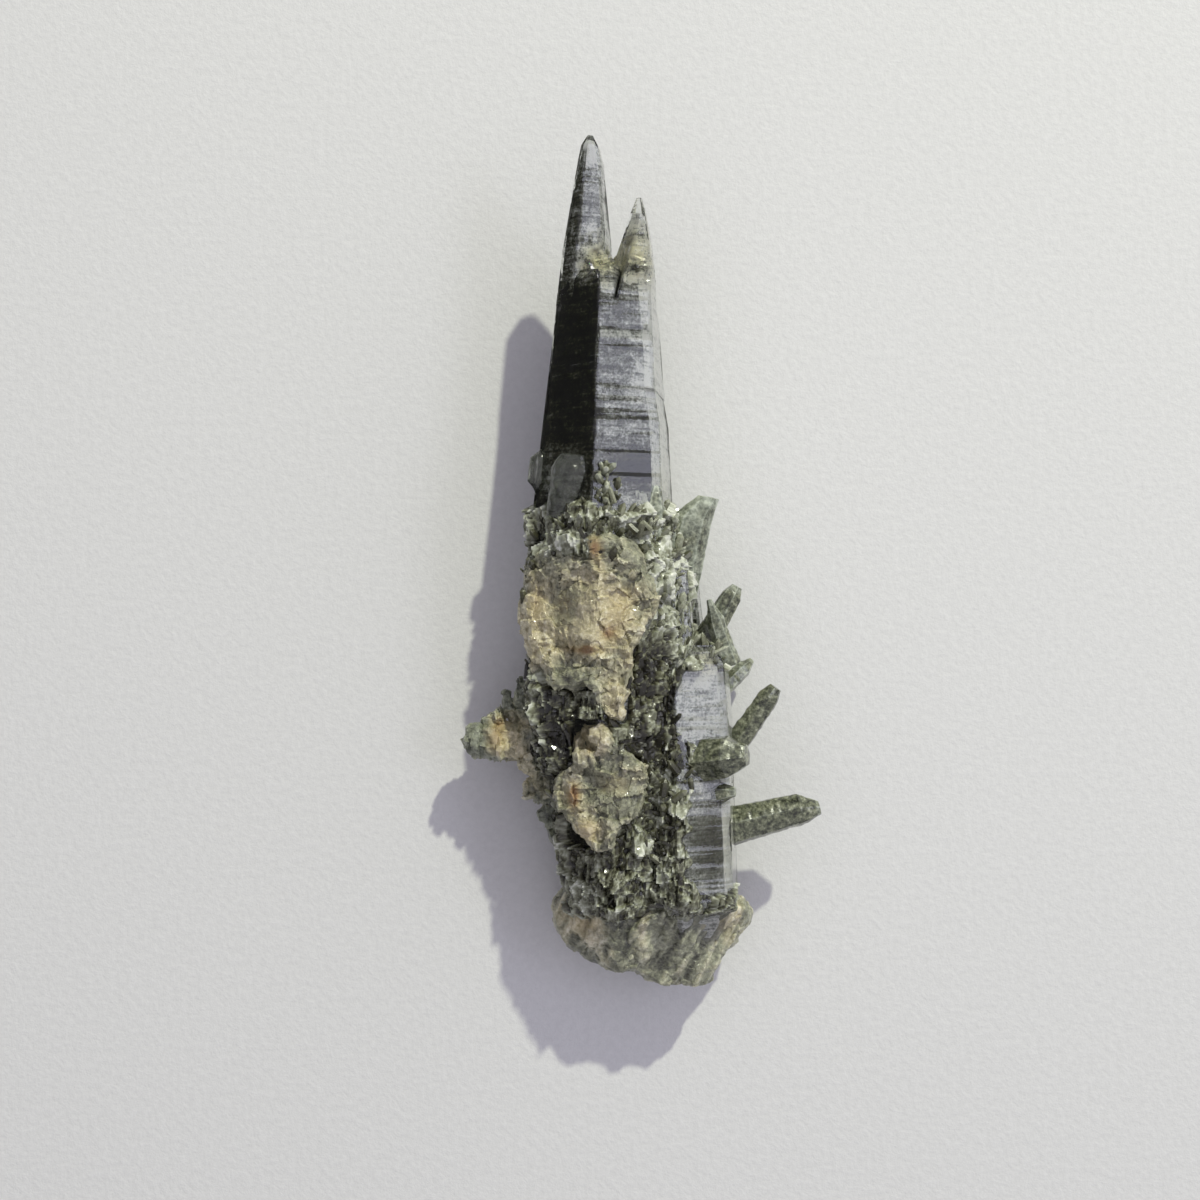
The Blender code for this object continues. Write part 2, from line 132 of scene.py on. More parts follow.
# Where the points of a column's section lie along each face, close to the corners so that edges stay crisp.
FACE_POINTS = np.array((0.0, 0.02, 0.14, 0.28, 0.43, 0.58, 0.72, 0.86, 0.98))
PHANTOM_POINTS = np.arange(22) / 22
# A face is never nearer to the centre line than this.
LEAST_DISTANCE = 0.12
# How far from an edge the lines fade out, how far apart the faces lie in the noise, how drawn out the
# noise is across a face, the size of the patches in which lines are strong, how strong they are at
# least, and the noise's range in which they grow stronger.
EDGE_FADE = 0.3
FACE_NOISE_STEP = 23.0
ACROSS_STRETCH = 0.09
STRIA_FADE = 6.0
STRIA_LEAST = 0.35
STRIA_RANGE = (-0.5, 0.6)
# Lines across the faces: length of a line along y, and how far it stands up.
STRIAE = ((0.3, 0.016), (0.62, 0.03), (1.5, 0.045))
# Terraces: how long they are along y, how high, how many levels the noise is cut into, and over which
# part of a level it rises.
TERRACE_LENGTH = 3.1
TERRACE_HEIGHT = 0.13
TERRACE_LEVELS = 4.0
TERRACE_STEP = (0.35, 0.65)
# Ledges on the main crystal's upper right face: how far their slopes reach, in lengths, then y of the
# middle, length, and drop towards the tip of each.
LEDGE_REACH = 5
LEDGES = ((36.0, 1.1, 0.36), (30.2, 1.3, 0.42), (20.6, 0.6, 0.22), (16.8, 0.5, 0.12), (14.2, 0.5, 0.1))

# How deep each column's phantom lies under its six faces, and where it starts and ends along y.
PHANTOMS = {
    "main": ((1.2, 0.4, 0.4, 0.5, 0.6, 0.6), -40.0, 39.2),
    "spire": ((0.45, 0.3, 0.34, 0.34, 0.5, 0.5), 34.2, 52.2),
    "twin_tip": ((0.5, 0.34, 0.34, 0.4, 0.5, 0.5), 24.2, 44.2),
    "second": ((1.1, 0.4, 0.4, 0.4, 0.5, 0.5), -41.0, -6.0),
    "third": ((0.4, 0.3, 0.3, 0.3, 0.4, 0.4), -8.0, 4.6),
    "lower": ((0.5, 0.4, 0.4, 0.4, 0.5, 0.5), -37.0, 5.4),
}
# Noises that break the phantoms' colour: size in millimetres, detail, roughness, how drawn out along x,
# y and z, and strength.
PHANTOM_NOISES = (
    (0.3, 5.0, 0.8, (1, 1, 1), 2.4), (0.26, 2.0, 0.5, (18, 1, 18), 1.0), (0.9, 5.0, 0.7, (6, 1, 6), 1.4),
    (1.2, 7.0, 0.85, (1, 1.3, 1), 2.6),
)
# How strong the lines are on the phantoms. Then bumps on them, and the bumps' size.
PHANTOM_STRIATION = 0.5
PHANTOM_BUMP = 0.14
PHANTOM_GRAIN = 0.55
# How strongly the noises show: from the third number where the veil is the first, to the fourth at the
# second.
PHANTOM_UNEVEN = (0.0, 0.6, 0.46, 0.74)
# Where each colour of the phantoms stands between darkest and palest.
PHANTOM_LEVELS = (0.0, 0.22, 0.36, 0.52, 0.72, 0.95)
# How pale the phantom is under each face: silver veils on the upper right, partly real veils and partly
# painted sheen, and a pale margin on the right side that is painted light through the clear rim.
VEIL_AND_SHEEN_OF_FACE = {
    "main": (0.95, 0.51, 0.1, 0.14, 0.3, 0.5),
    "spire": (0.8, 0.64, 0.42, 0.34, 0.35, 0.5),
    "twin_tip": (0.95, 0.86, 0.95, 0.85, 0.4, 0.5),
    "second": (0.95, 0.86, 0.5, 0.35, 0.35, 0.5),
    "third": (0.9, 0.8, 0.6, 0.5, 0.5, 0.5),
    "lower": (0.7, 0.5, 0.3, 0.3, 0.25, 0.3),
}
# Paler and darker places on the upper right faces, partly real veils and partly painted sheen, with a
# painted glint at the spire's tip: x, y, the two radii, how much paler.
VEILS_AND_SHEEN = [
    (2.6, 29.9, 5.0, 0.75, 0.34), (0.9, 35.4, 1.0, 0.75, 0.42), (4.6, 24.6, 1.2, 2.8, 0.42),
    (4.4, 15.0, 4.0, 2.0, -0.54), (5.4, 20.7, 1.8, 0.35, -0.5), (1.9, 24.0, 1.6, 2.6, 0.08),
    (3.0, 32.6, 3.0, 1.4, -0.16), (2.6, 28.3, 3.0, 0.7, -0.18), (5.0, 33.8, 1.4, 2.0, 0.2),
    (-0.1, 21.6, 0.5, 1.2, -0.3), (3.8, 10.8, 1.6, 1.4, 0.3), (3.4, 18.8, 3.4, 1.2, 0.1),
    (-0.6, 42.4, 1.6, 0.9, 0.22), (-0.8, 45.0, 1.6, 1.0, -0.16), (-0.2, 38.4, 2.2, 1.8, 0.5),
    (-1.1, 51.5, 1.4, 1.5, 1.8), (0.2, 40.6, 2.0, 0.4, 0.3), (12.0, -8.4, 3.0, 1.6, 0.06),
    (12.9, -28.0, 3.4, 6.0, -0.5), (4.2, 37.8, 0.9, 0.5, -0.5), (4.0, 36.9, 1.4, 0.4, 0.3),
]
# Paler places on the upper left faces, the last of them a painted glint at the spire's tip, and places
# that are beige or greenish rather than silver.
LEFT_VEILS_AND_GLINT = [
    (-4.0, 13.6, 3.0, 4.6, 0.24), (-1.4, 37.6, 1.5, 1.8, 0.5), (-5.6, 22.0, 0.35, 16.0, 0.12),
    (-1.2, 52.2, 1.2, 1.2, 0.8),
]
OLIVES = [
    (-0.1, 38.4, 2.2, 2.4, 1.0), (4.0, 39.4, 1.9, 3.4, 0.9), (6.0, 12.0, 3.0, 3.0, 0.3),
    (12.0, -7.0, 3.0, 1.6, 0.6), (12.4, -27.0, 3.0, 6.0, 0.4),
]
# How much paler the upper left faces get towards the root, and between which y.
LOW_VEIL = 0.14
LOW_VEIL_BELOW = (21.0, 12.0)
# Places where the veils are even, with hardly a line: x, y, the two radii, how even.
EVEN = [(12.9, -28.0, 3.6, 6.4, 0.7)]
# The deep crack beside the twin tip: its two ends, half its width, all in millimetres of the working frame.
CRACK = ((3.1, 41.2), (1.7, 34.2), 0.68)
CRACK_DEPTH = 1.5
# Its lower end is this share as wide. Its sides fade between these shares of its half width, and its ends
# over these lengths.
CRACK_NARROW = 0.35
CRACK_EDGE = (0.6, 1.25)
CRACK_ENDS = (0.3, 0.6)
# Painted shade: the near-black laid on the phantom in the depth of the crack.
CRACK_SHADE_COLOUR = (0.001, 0.001, 0.0007)
# Above this it is open and pale rather than black: where the painted shade ends along y.
CRACK_SHADE_END = (37.2, 38.8)
# The wedge that opens it: height of its bottom at both ends, half its width at its top, and the top's
# height.
CRACK_WEDGE = ((12.0, 15.1), (1.7, 0.5), 20.0)
# Where the foot of the tips is broken rather than grown: x, y, the two radii, and how rough it is. Then the
# facets there: how wide, how far they stand up, and two shares in the paleness, which aren't used here.
BROKEN_AT = [(-0.2, 38.6, 1.9, 1.9, 1.6), (4.2, 38.0, 1.5, 1.3, 1.0)]
FOOT_FACETS = ((1.5, 0.6, 0.0, 0.0), (0.7, 0.3, 0.0, 0.0))

# Leaning crystals: name, foot, middle of the tip, radius at the foot, radius at the shoulder, share of
# the length in the point, how blunt the tip is, how far the point stands to one side, roll in degrees,
# and how flat it is.
LEANING = [
    ("chisel", (10.0, -1.5, 9.6), (12.7, 12.0, 11.4), 2.4, 2.3, 0.2, 0.55, 0.6, 0, 0.6),
    ("thumb", (12.2, -5.4, 9.0), (16.2, 1.6, 9.4), 1.7, 1.25, 0.16, 0.55, 0.0, 40, 0.9),
    ("blade", (15.2, -7.6, 10.4), (12.7, 0.0, 12.0), 1.4, 1.0, 0.3, 0.3, 0.0, 0, 0.7),
    ("finger", (13.4, -21.0, 8.6), (20.7, -10.3, 10.0), 1.7, 1.35, 0.1, 0.6, 0.0, 20, 0.9),
    ("tusk", (13.0, -27.9, 8.6), (26.0, -24.6, 9.2), 2.6, 1.95, 0.17, 0.45, 0.2, 15, 0.9),
    ("knuckle", (9.4, -18.6, 13.0), (16.6, -17.6, 16.4), 2.9, 2.6, 0.3, 0.5, 0.0, 30, 0.95),
    ("bud", (10.6, -22.4, 12.6), (15.4, -21.9, 15.0), 1.5, 1.3, 0.3, 0.45, 0.0, 5, 0.9),
    ("prism_a", (7.4, 1.0, 13.2), (8.4, 9.6, 13.4), 0.9, 0.8, 0.12, 0.4, 0.0, 9.5, 1.0),
    ("prism_b", (5.6, 4.6, 14.5), (6.3, 13.0, 15.5), 1.7, 1.45, 0.3, 0.35, 0.0, 9.5, 0.8),
    ("stub_left", (-3.6, -17.9, 8.6), (-15.9, -16.4, 6.9), 2.5, 2.25, 0.1, 0.7, 0.0, 10, 0.95),
    ("stub_knob", (-11.6, -13.8, 7.2), (-14.0, -14.6, 6.8), 1.2, 1.0, 0.3, 0.5, 0.0, 25, 1.0),
    ("splinter_a", (-10.2, -15.6, 6.4), (-11.4, -10.9, 6.2), 0.95, 0.75, 0.2, 0.5, 0.0, 0, 0.9),
    ("splinter_b", (-8.6, -15.2, 6.8), (-9.7, -9.4, 6.9), 1.05, 0.85, 0.2, 0.5, 0.0, 20, 0.9),
    ("splinter_c", (-6.4, -14.6, 8.8), (-8.7, -10.0, 9.2), 1.2, 0.95, 0.2, 0.5, 0.0, 10, 0.8),
    ("flank_a", (-5.2, -18.6, 8.6), (-9.6, -19.4, 9.6), 2.1, 1.7, 0.3, 0.5, 0.0, 10, 0.9),
    ("flank_b", (-4.6, -22.6, 7.6), (-8.9, -22.6, 8.8), 2.1, 1.7, 0.3, 0.5, 0.0, 30, 0.9),
    ("flank_c", (-4.2, -25.0, 7.0), (-7.4, -25.8, 7.4), 1.6, 1.3, 0.3, 0.5, 0.0, 0, 0.9),
    ("under_tusk", (13.6, -12.0, 5.2), (18.6, -7.4, 3.4), 1.3, 1.0, 0.2, 0.4, 0.0, 10, 0.9),
    ("under_blade", (-4.6, -6.0, 6.0), (-8.6, 1.2, 4.2), 1.5, 1.15, 0.2, 0.4, 0.0, 20, 0.8),
    ("heel", (-2.8, -31.0, 5.6), (-6.2, -27.6, 4.6), 1.5, 1.15, 0.25, 0.4, 0.0, 0, 0.9),
]
# The thin plates, in the same way.
PLATES = [
    ("clear_plate", (-4.6, 14.6, 12.4), (-8.2, 15.1, 13.1), 3.2, 2.6, 0.3, 0.55, 0.0, 5, 0.35),
    ("fan_plate", (-3.6, 9.5, 15.4), (-3.0, 16.4, 17.4), 2.5, 2.3, 0.2, 0.6, 0.0, 0, 0.45),
]
# How many points each of a leaning crystal's six sides has, and the steps along its body and its point.
LEANING_SIDE = 8
LEANING_STEPS = (0.16, 0.1)
# The low dome that closes a leaning crystal: its height, then where its rings are and how wide.
DOME_HEIGHT = 0.06
DOME_AT = np.array((0.5, 0.85, 1.0))
DOME_WIDE = (0.93, 0.7, 0.3)
# Their faces: the size and share of the coarse noise, then of the fine lines, and how far the noise of the
# lines is squeezed.
LEANING_NOISE = (1.6, 0.5)
LEANING_LINES = (0.45, 0.25)
LEANING_STRETCH = (0.3, 0.3, 1.0)
# The noise fades out by the tip: from what share of the length, over how much of it, and to what strength.
LEANING_FADE = (1.02, 0.05, 0.3)
# How narrow the pale margins at the corners are, how pale, how much paler the tip is, and from where it is.
PALE_NARROW = 3.2
PALE_MARGIN = 0.5
PALE_TIP = 0.45
PALE_FROM = 0.86
# How much paler or darker than the rest some leaning crystals are.
PALER = {
    "chisel": 0.34, "blade": 0.2, "knuckle": -0.5, "tusk": -0.36, "finger": -0.62, "thumb": -0.1,
    "prism_a": 0.4, "prism_b": 0.4,
}
# How rounded their sections are, from six-cornered to round, and how strongly noise pushes their faces
# about.
GROWN_ROUND = 0.12
ROUNDED = {"tusk": 0.55, "finger": 0.5, "thumb": 0.4}
PLATE_ROUND = 0.7
GROWN_ROUGHNESS = 0.2
BROKEN_ROUGHNESS = 0.6
PLATE_ROUGHNESS = 0.45
# Those that are broken quartz rather than grown.
BROKEN_CRYSTALS = (
    "stub_left", "stub_knob", "splinter_a", "splinter_b", "splinter_c", "flank_a", "flank_b", "flank_c",
)
# The angle past which smooth shading breaks on phantoms, grown crystals, broken quartz and the crust.
PHANTOM_SHARP = 40
GROWN_SHARP = 22
BROKEN_SHARP = 30
CRUST_SHARP = 28
# Where each family's noises start, and how far apart the members of a family are.
COLUMN_SEED = 60
PHANTOM_SEED = 400
COLUMN_SEED_STEP = 50
LEANING_SEED = 900
ROUGH_SEED = 950
PLATE_SEED = 1200
LEANING_SEED_STEP = 7

# Crags: lumps of broken, milky quartz. The outline is seen from above. Then the height of the rim, how
# far its lip stands up, how far the middle is sunk, the height of its root, and how it drapes over the
# crystal under it: the x of the ridge, and the rise per millimetre along x on its left, along x on its
# right, and along y.
SCAR_UPPER = {
    "outline": [
        (6.4, -1.2), (5.9, 1.2), (5.0, 4.0), (2.8, 7.0), (-1.6, 8.0), (-5.4, 7.2), (-8.4, 4.8), (-9.0, 1.0),
        (-9.3, -1.4), (-8.7, -3.8), (-8.3, -7.2), (-5.8, -9.6), (-2.9, -10.2), (-0.5, -10.2), (0.6, -13.2),
        (2.2, -13.6), (3.1, -11.0), (3.6, -7.2), (5.0, -3.6),
    ],
    "rim": 17.8, "lip": 1.7, "dish": 0.45, "root": 12.6, "drape": (-0.8, 0.78, 0.0, 0.02), "seed": 3,
}
SCAR_LOWER = {
    "outline": [
        (5.7, -20.6), (4.8, -18.6), (2.6, -16.6), (0.6, -14.2), (-1.4, -13.8), (-2.9, -15.4),
        (-2.9, -18.6), (-4.8, -20.2), (-5.3, -22.6), (-4.4, -24.6), (-2.7, -26.2), (-0.8, -28.2),
        (0.6, -28.0), (1.8, -26.2), (4.2, -23.6),
    ],
    "rim": 17.0, "lip": 1.4, "dish": 0.2, "root": 11.6, "drape": (0.8, 0.78, 0.0, 0.02), "seed": 8,
}
ROOT_LEFT = {
    "outline": [
        (5.6, -36.6), (2.6, -34.4), (-1.6, -33.8), (-4.4, -34.2), (-5.9, -36.6), (-5.2, -39.4),
        (-3.6, -41.6), (-0.6, -43.2), (3.6, -43.9), (6.4, -42.0),
    ],
    "rim": 11.6, "lip": 1.3, "dish": 0.1, "root": 1.6, "drape": (2.1, 0.72, -0.1, 0.44), "seed": 12,
}
ROOT_RIGHT = {
    "outline": [
        (18.0, -38.4), (16.6, -35.8), (12.0, -35.4), (6.6, -35.6), (3.0, -38.0), (3.2, -43.0), (6.8, -45.0),
        (10.9, -45.9), (13.4, -45.7), (13.9, -43.0), (16.0, -40.8),
    ],
    "rim": 10.4, "lip": 1.5, "dish": 0.2, "root": 0.9, "drape": (11.0, 0.0, -0.72, 0.5), "seed": 15,
}
# How each ring of a crag is made: share of the outline, share of the way from root to rim, share of the
# lip, share of the dish. The rings between are read off straight lines through these.
CRAG_RINGS = np.array([
    (0.45, 0.0, 0.0, 0.0), (0.86, 0.45, 0.0, 0.0), (0.98, 0.86, 0.0, 0.0), (1.0, 1.0, 0.25, 0.0),
    (0.92, 1.0, 1.0, 0.0), (0.78, 1.0, 1.0, 0.35), (0.6, 1.0, 1.0, 0.75), (0.4, 1.0, 1.0, 1.0),
    (0.2, 1.0, 1.0, 0.8), (0.01, 1.0, 1.0, 0.75),
])
# How far apart those rings are along the surface, in shares.
CRAG_SPACING = (5.0, 4.0, 2.0, 3.0, 3.0, 3.5, 4.0, 4.0, 3.5)
# How far coarse noise pushes a crag's points, its size, how much of it the crag's root gets, and how
# far apart the noises for x, y and z lie.
CRAG_ROUGHNESS = 0.55
CRAG_GRAIN = 2.3
CRAG_ROOT_SHARE = 0.35
FIELD_STEP = 40.0

# Forms on the scars: x, y, radius along x, radius along y, height. Then stains: x, y, the two radii,
# strength.
SCAR_FORMS = {
    "scar_upper": [
        (-4.0, -1.1, 1.9, 2.8, -0.4), (-1.5, -2.3, 1.3, 2.3, 0.8), (-0.3, 1.0, 0.4, 2.4, 0.6),
        (-2.2, -5.7, 2.6, 0.45, -0.5), (-8.0, -2.6, 1.2, 3.0, 0.6), (2.2, 1.2, 1.4, 1.4, 0.3),
        (2.0, -5.0, 1.2, 1.8, 0.35), (-2.6, -8.4, 2.0, 0.9, 0.4), (-5.4, 3.2, 1.6, 1.2, 0.3),
        (0.8, 5.2, 1.0, 1.0, 0.35), (1.8, -11.4, 1.0, 1.4, 0.3),
    ],
    "scar_lower": [
        (-1.5, -15.2, 1.4, 1.0, 0.6), (-1.1, -16.9, 0.5, 0.5, -0.15), (1.8, -20.8, 2.6, 1.4, -0.5),
        (-2.9, -22.2, 0.9, 1.8, 0.5), (-1.2, -26.0, 1.2, 1.6, 0.4), (4.3, -19.6, 1.2, 0.9, 0.5),
    ],
}
SCAR_STAINS = {
    "scar_upper": [
        (-1.4, -5.5, 0.55, 0.55, 1.0), (-2.2, -5.6, 2.6, 0.55, 0.7), (-4.0, -0.4, 1.6, 2.2, 0.4),
        (-0.6, 5.8, 0.9, 1.4, 1.0), (0.9, -3.7, 0.9, 0.9, 0.7), (2.2, -1.5, 2.2, 3.4, 0.46),
        (-7.4, -0.6, 1.0, 2.6, 0.55), (3.2, -6.4, 0.8, 1.8, 0.3),
    ],
    "scar_lower": [
        (-1.1, -16.9, 0.35, 0.35, 0.7), (-3.0, -22.3, 0.75, 1.6, 1.25), (-1.6, -26.0, 1.4, 1.8, 0.55),
        (1.6, -20.8, 2.4, 1.4, 0.35), (-1.8, -15.0, 1.4, 1.0, 0.25),
    ],
    "root_left": [(-1.7, -38.2, 2.0, 1.8, 0.45), (-4.6, -36.6, 1.2, 1.4, 0.3)],
    "root_right": [(13.8, -37.4, 1.9, 1.2, 0.4), (15.0, -39.4, 2.6, 1.6, 0.25)],
}
# Milky patches: x, y, the two radii, strength. Elsewhere the quartz is clearer and shows its chlorite.
SCAR_MILK = {
    "scar_upper": [
        (-4.0, -1.1, 1.5, 2.5, -1.0), (-2.2, -2.4, 7.0, 4.8, 0.95), (1.6, -0.6, 3.8, 4.2, 0.3),
        (-7.6, -3.4, 1.8, 4.2, 1.1), (-3.0, 2.6, 4.0, 1.6, 0.2),
        (-0.2, 1.2, 0.7, 3.0, 1.2), (-3.0, -8.8, 2.2, 1.2, -0.35), (1.8, -11.4, 1.4, 2.4, 1.3),
    ],
    "scar_lower": [
        (-1.4, -15.2, 2.2, 2.2, 1.5), (-3.3, -22.0, 1.6, 2.4, 0.7), (-1.2, -26.2, 1.8, 2.2, 0.85),
        (4.2, -19.4, 1.6, 1.2, 0.4),
    ],
    "root_left": [(1.7, -34.9, 0.8, 0.7, 1.0), (-2.0, -38.0, 2.8, 2.4, 0.7), (5.6, -39.0, 0.5, 3.0, 0.6)],
    "root_right": [
        (14.6, -35.9, 1.4, 1.0, 0.9), (13.5, -37.6, 1.6, 0.9, 0.75), (16.3, -37.2, 0.45, 0.9, 1.1),
        (5.0, -38.0, 0.6, 2.2, 0.5), (8.4, -38.8, 2.6, 3.2, -0.5),
    ],
}
SIDE_STAINS = [(-12.3, -16.2, 1.3, 2.0, 0.75), (-11.7, -14.6, 0.9, 0.7, 0.4)]
SIDE_MILK = [
    (-9.8, -16.6, 1.9, 3.0, 0.75), (-12.2, -16.2, 1.6, 2.2, 0.6), (-8.2, -21.5, 2.6, 2.6, 0.5),
    (-14.8, -16.0, 1.0, 2.4, -0.2), (-9.8, -20.2, 0.9, 0.6, 0.5),
]
# Points round a crag, and rows of them.
CRAG_GRID = {
    "scar_upper": (300, 150), "scar_lower": (240, 120), "root_left": (240, 130), "root_right": (250, 130),
}
# Facets on broken crystals and on crags: how wide, how far they stand up, their share in how pale the
# quartz is, and the share of their rims, both of which are painted light. Then between which distances a
# rim fades out.
BROKEN_FACETS = ((2.4, 0.42, 0.3, 0.0), (1.1, 0.24, 0.5, 0.0), (0.5, 0.08, 0.35, 0.0))
CRAG_FACETS = ((2.4, 0.42, 0.3, 0.045), (1.1, 0.24, 0.5, 0.075), (0.5, 0.08, 0.35, 0.0525))
FACET_RIM = (0.03, 0.22)
# How strong the facets are on the root, and how much of them a smooth place takes away.
ROOT_CALM = 0.42
CALM_SHARE = 0.65
# Fibres of the root: which way they run, how wide, long and high they are, how far z is squeezed in their
# noise, their share in how pale the root is, which is painted light on their ridges, and the ridge height
# that makes it no paler.
FIBRE_TURN = math.radians(62)
FIBRE_WIDTH = 0.55
FIBRE_LENGTH = 9.0
FIBRE_HEIGHT = 0.2
FIBRE_STEEP = 0.5
FIBRE_TONE = 0.95
FIBRE_MIDDLE = 0.5
# Smooth places on the scars: x, y, the two radii, strength.
CALM = {
    "scar_upper": [
        (-1.6, -2.4, 1.9, 3.0, 1.0), (-4.0, -1.0, 1.6, 2.2, 0.8), (-7.2, -3.0, 1.4, 3.4, 0.5),
        (2.2, -1.0, 2.0, 3.0, 0.5),
    ],
    "scar_lower": [(1.6, -20.8, 2.8, 1.8, 0.9), (-1.6, -15.2, 1.2, 1.2, 0.5)],
}

# Druse: a crust on a parallel crystal. The crystal, its two ends along y, its mean thickness, how far the
# thickness swings, its seed, and how many rows and points along each face.
CRUSTS = [
    ("main", -38.0, 12.6, 0.85, 1.1, 21, 300, 50),
    ("second", -37.0, -5.6, 0.3, 1.0, 25, 200, 38),
    ("third", -8.8, 6.6, 0.15, 0.7, 29, 80, 22),
]
# The size of its coarse noise and that noise's share, how deep its thin places and its ends sink under the
# faces, and how steeply the ends do.
CRUST_GRAIN = 3.4
CRUST_COARSE_SHARE = 0.65
CRUST_SINK = 1.2
CRUST_END_SLOPE = 1.6
# Its grains, drawn out along y by this much: how wide, how far they stand up, their share in how pale
# it is, and the share of their rims.
CRUST_STRETCH = 0.62
CRUST_FACETS = ((2.0, 0.62, 0.3, 0.1), (0.95, 0.4, 0.4, 0.3), (0.45, 0.15, 0.25, 0.25))

# Small crystals of the druse: the middle of a patch, its radii along x and y, and how many grow there.
DRUSE_PATCHES = [
    ((1.5, 8.6), (7.5, 1.6), 170),
    ((7.6, 2.0), (3.4, 7.0), 260),
    ((6.0, -9.5), (3.2, 5.0), 90),
    ((5.4, -24.0), (5.6, 6.0), 150),
    ((-7.4, -22.0), (3.0, 6.5), 150),
    ((12.0, -5.4), (2.6, 1.0), 50),
    ((0.8, 12.8), (1.5, 2.4), 70),
    ((8.6, -20.0), (2.4, 7.0), 90),
    ((2.0, -12.0), (18.0, 24.0), 500),
]
# Places that the druse leaves bare: x, y, and half their width and length. Then how jagged their edges
# are, the size of the jags, how deep the crust sinks there, over which heights past the column's
# middle, and the lowest place that stays bare of small crystals.
DRUSE_BARE = [(12.9, -12.1, 4.2, 4.2), (14.2, -27.4, 4.2, 6.2), (14.0, -18.2, 3.6, 3.6)]
BARE_EDGE = (0.9, 1.3)
BARE_SINK = 3.84
BARE_HEIGHTS = (-4.0, -2.0)
BARE_LOWEST = 4.0
# The same for the places where the scars lie on the crust, which only gets thinner there.
SCAR_BARE = [
    (-2.6, -1.8, 6.2, 6.6), (0.8, -3.6, 3.1, 6.4), (0.6, -20.8, 4.4, 3.4), (-1.0, -15.8, 2.2, 2.4),
    (-1.6, -26.2, 2.4, 2.4), (-3.4, -22.4, 2.0, 2.6), (1.8, -11.6, 1.5, 2.6), (-3.0, -8.6, 3.2, 1.6),
]
SCAR_SINK = 1.9
SCAR_HEIGHTS = (1.0, 3.0)
SCAR_LOWEST = 5.5
# Where the edge of such a place fades out, in the sum of the fourth powers of the distances in half widths.
BOX_EDGE = (0.5, 1.3)
# Up to how far inside the small crystals still grow, on bare places and on scars.
GROWS_BARE = 0.1
GROWS_SCAR = 0.5
# How far the crust's end towards the tips wanders, and how long its waves are.
CRUST_TOP = (1.6, 2.6)
# Where the small crystals may stand: how many places are tried, how far outside the columns' faces, the
# furthest y and the lowest height.
DRUSE_TRIES = 160000
DRUSE_REACH = (-1.4, 1.7)
DRUSE_END = 15.4
DRUSE_LOWEST = 0.8
# A small crystal: its points (two rings of six and a tip), its radius as a share of its length, where
# its shoulder is and how wide, how deep its foot is sunk, which way all of them lean, and how much each
# differs.
DRUSE_POINTS = 13
DRUSE_SLENDER = (0.2, 0.36)
DRUSE_SHOULDER = 0.68
DRUSE_TAPER = 0.88
DRUSE_SUNK = 0.5
DRUSE_LEAN = (0.05, 1.0, 0.0)
DRUSE_WOBBLE = 0.75
# Where the druse is cut in two pieces along y.
DRUSE_NORTH = -12.0
# How pale the small crystals are: the range they are drawn from, what the tip adds, and the shoulder's
# share.
DRUSE_TONE = (-0.42, 0.02)
DRUSE_TIP_TONE = 0.3
DRUSE_SHOULDER_TONE = 0.6
# Paler and darker places of the druse: x, y, the two radii, how much paler.
DRUSE_TONES = [
    (8.2, 1.6, 3.0, 5.6, 0.5), (3.4, 8.0, 5.6, 2.4, 0.3), (-4.6, 6.6, 3.0, 1.6, 0.16),
    (6.4, -9.4, 2.8, 4.4, -0.62), (-5.2, -15.2, 2.6, 5.2, -0.6), (4.3, -16.8, 2.2, 2.0, -0.8),
    (11.6, -1.2, 0.7, 2.4, -0.9), (12.0, -5.8, 3.0, 1.2, 0.5), (9.6, -22.0, 2.4, 4.0, 0.2),
    (0.8, 13.2, 2.0, 2.6, 0.6), (1.0, -30.5, 5.4, 2.6, -0.24), (-8.0, -20.0, 2.4, 4.0, 0.16),
    (8.6, -14.4, 2.2, 2.0, -0.1), (8.6, 9.6, 3.4, 2.4, 0.3), (7.4, -31.0, 2.0, 2.6, 0.2),
]

# Finishes: colours along a ramp of fine noise. Clouded crystals and their pale places, the haze in the
# plates, then where the milk's, the clearer quartz's, the rust's and the druse's colours stand. The
# clearer quartz has its own colour times a share; the milk's and the clearer quartz's darker and paler
# colours are partly painted shade and light, by how far the facets stand up.
SIDE_BODY = [
    (0.36, (0.02, 0.022, 0.012)), (0.48, (0.09, 0.098, 0.06)), (0.6, (0.22, 0.23, 0.15)),
    (0.7, (0.42, 0.43, 0.33)),
]
SIDE_PALE = [(0.35, (0.2, 0.225, 0.17)), (0.6, (0.56, 0.6, 0.5))]
PLATE_HAZE = [(0.42, (0.5, 0.53, 0.45)), (0.62, (0.8, 0.82, 0.75))]
MILK_LEVELS = (0.34, 0.54, 0.72)
CLEARER_LEVELS = ((0.32, 0.2), (0.46, 0.6), (0.6, 1.0), (0.76, 1.9))
RUST_LEVELS = (0.0, 0.55, 1.0)
DRUSE_LEVELS = (0.08, 0.28, 0.52, 0.8, 1.0)
# The colour of the clearer quartz on the stub and flanks, on the scars, and on the root.
LUMPY_COLOUR = (0.32, 0.34, 0.25)
SCAR_COLOUR = (0.36, 0.36, 0.25)
ROOT_COLOUR = (0.33, 0.335, 0.235)
# How much light quartz bends.
QUARTZ_IOR = 1.544
# The darker grain of the paper, as a share of the floor's colour.
PAPER_GRAIN = 0.94

# The view: 150 mm of floor across the frame, from 175 mm straight above the working point.
VIEW_HEIGHT = 175.0
VIEW_WIDTH = 150.0
SENSOR = 36.0
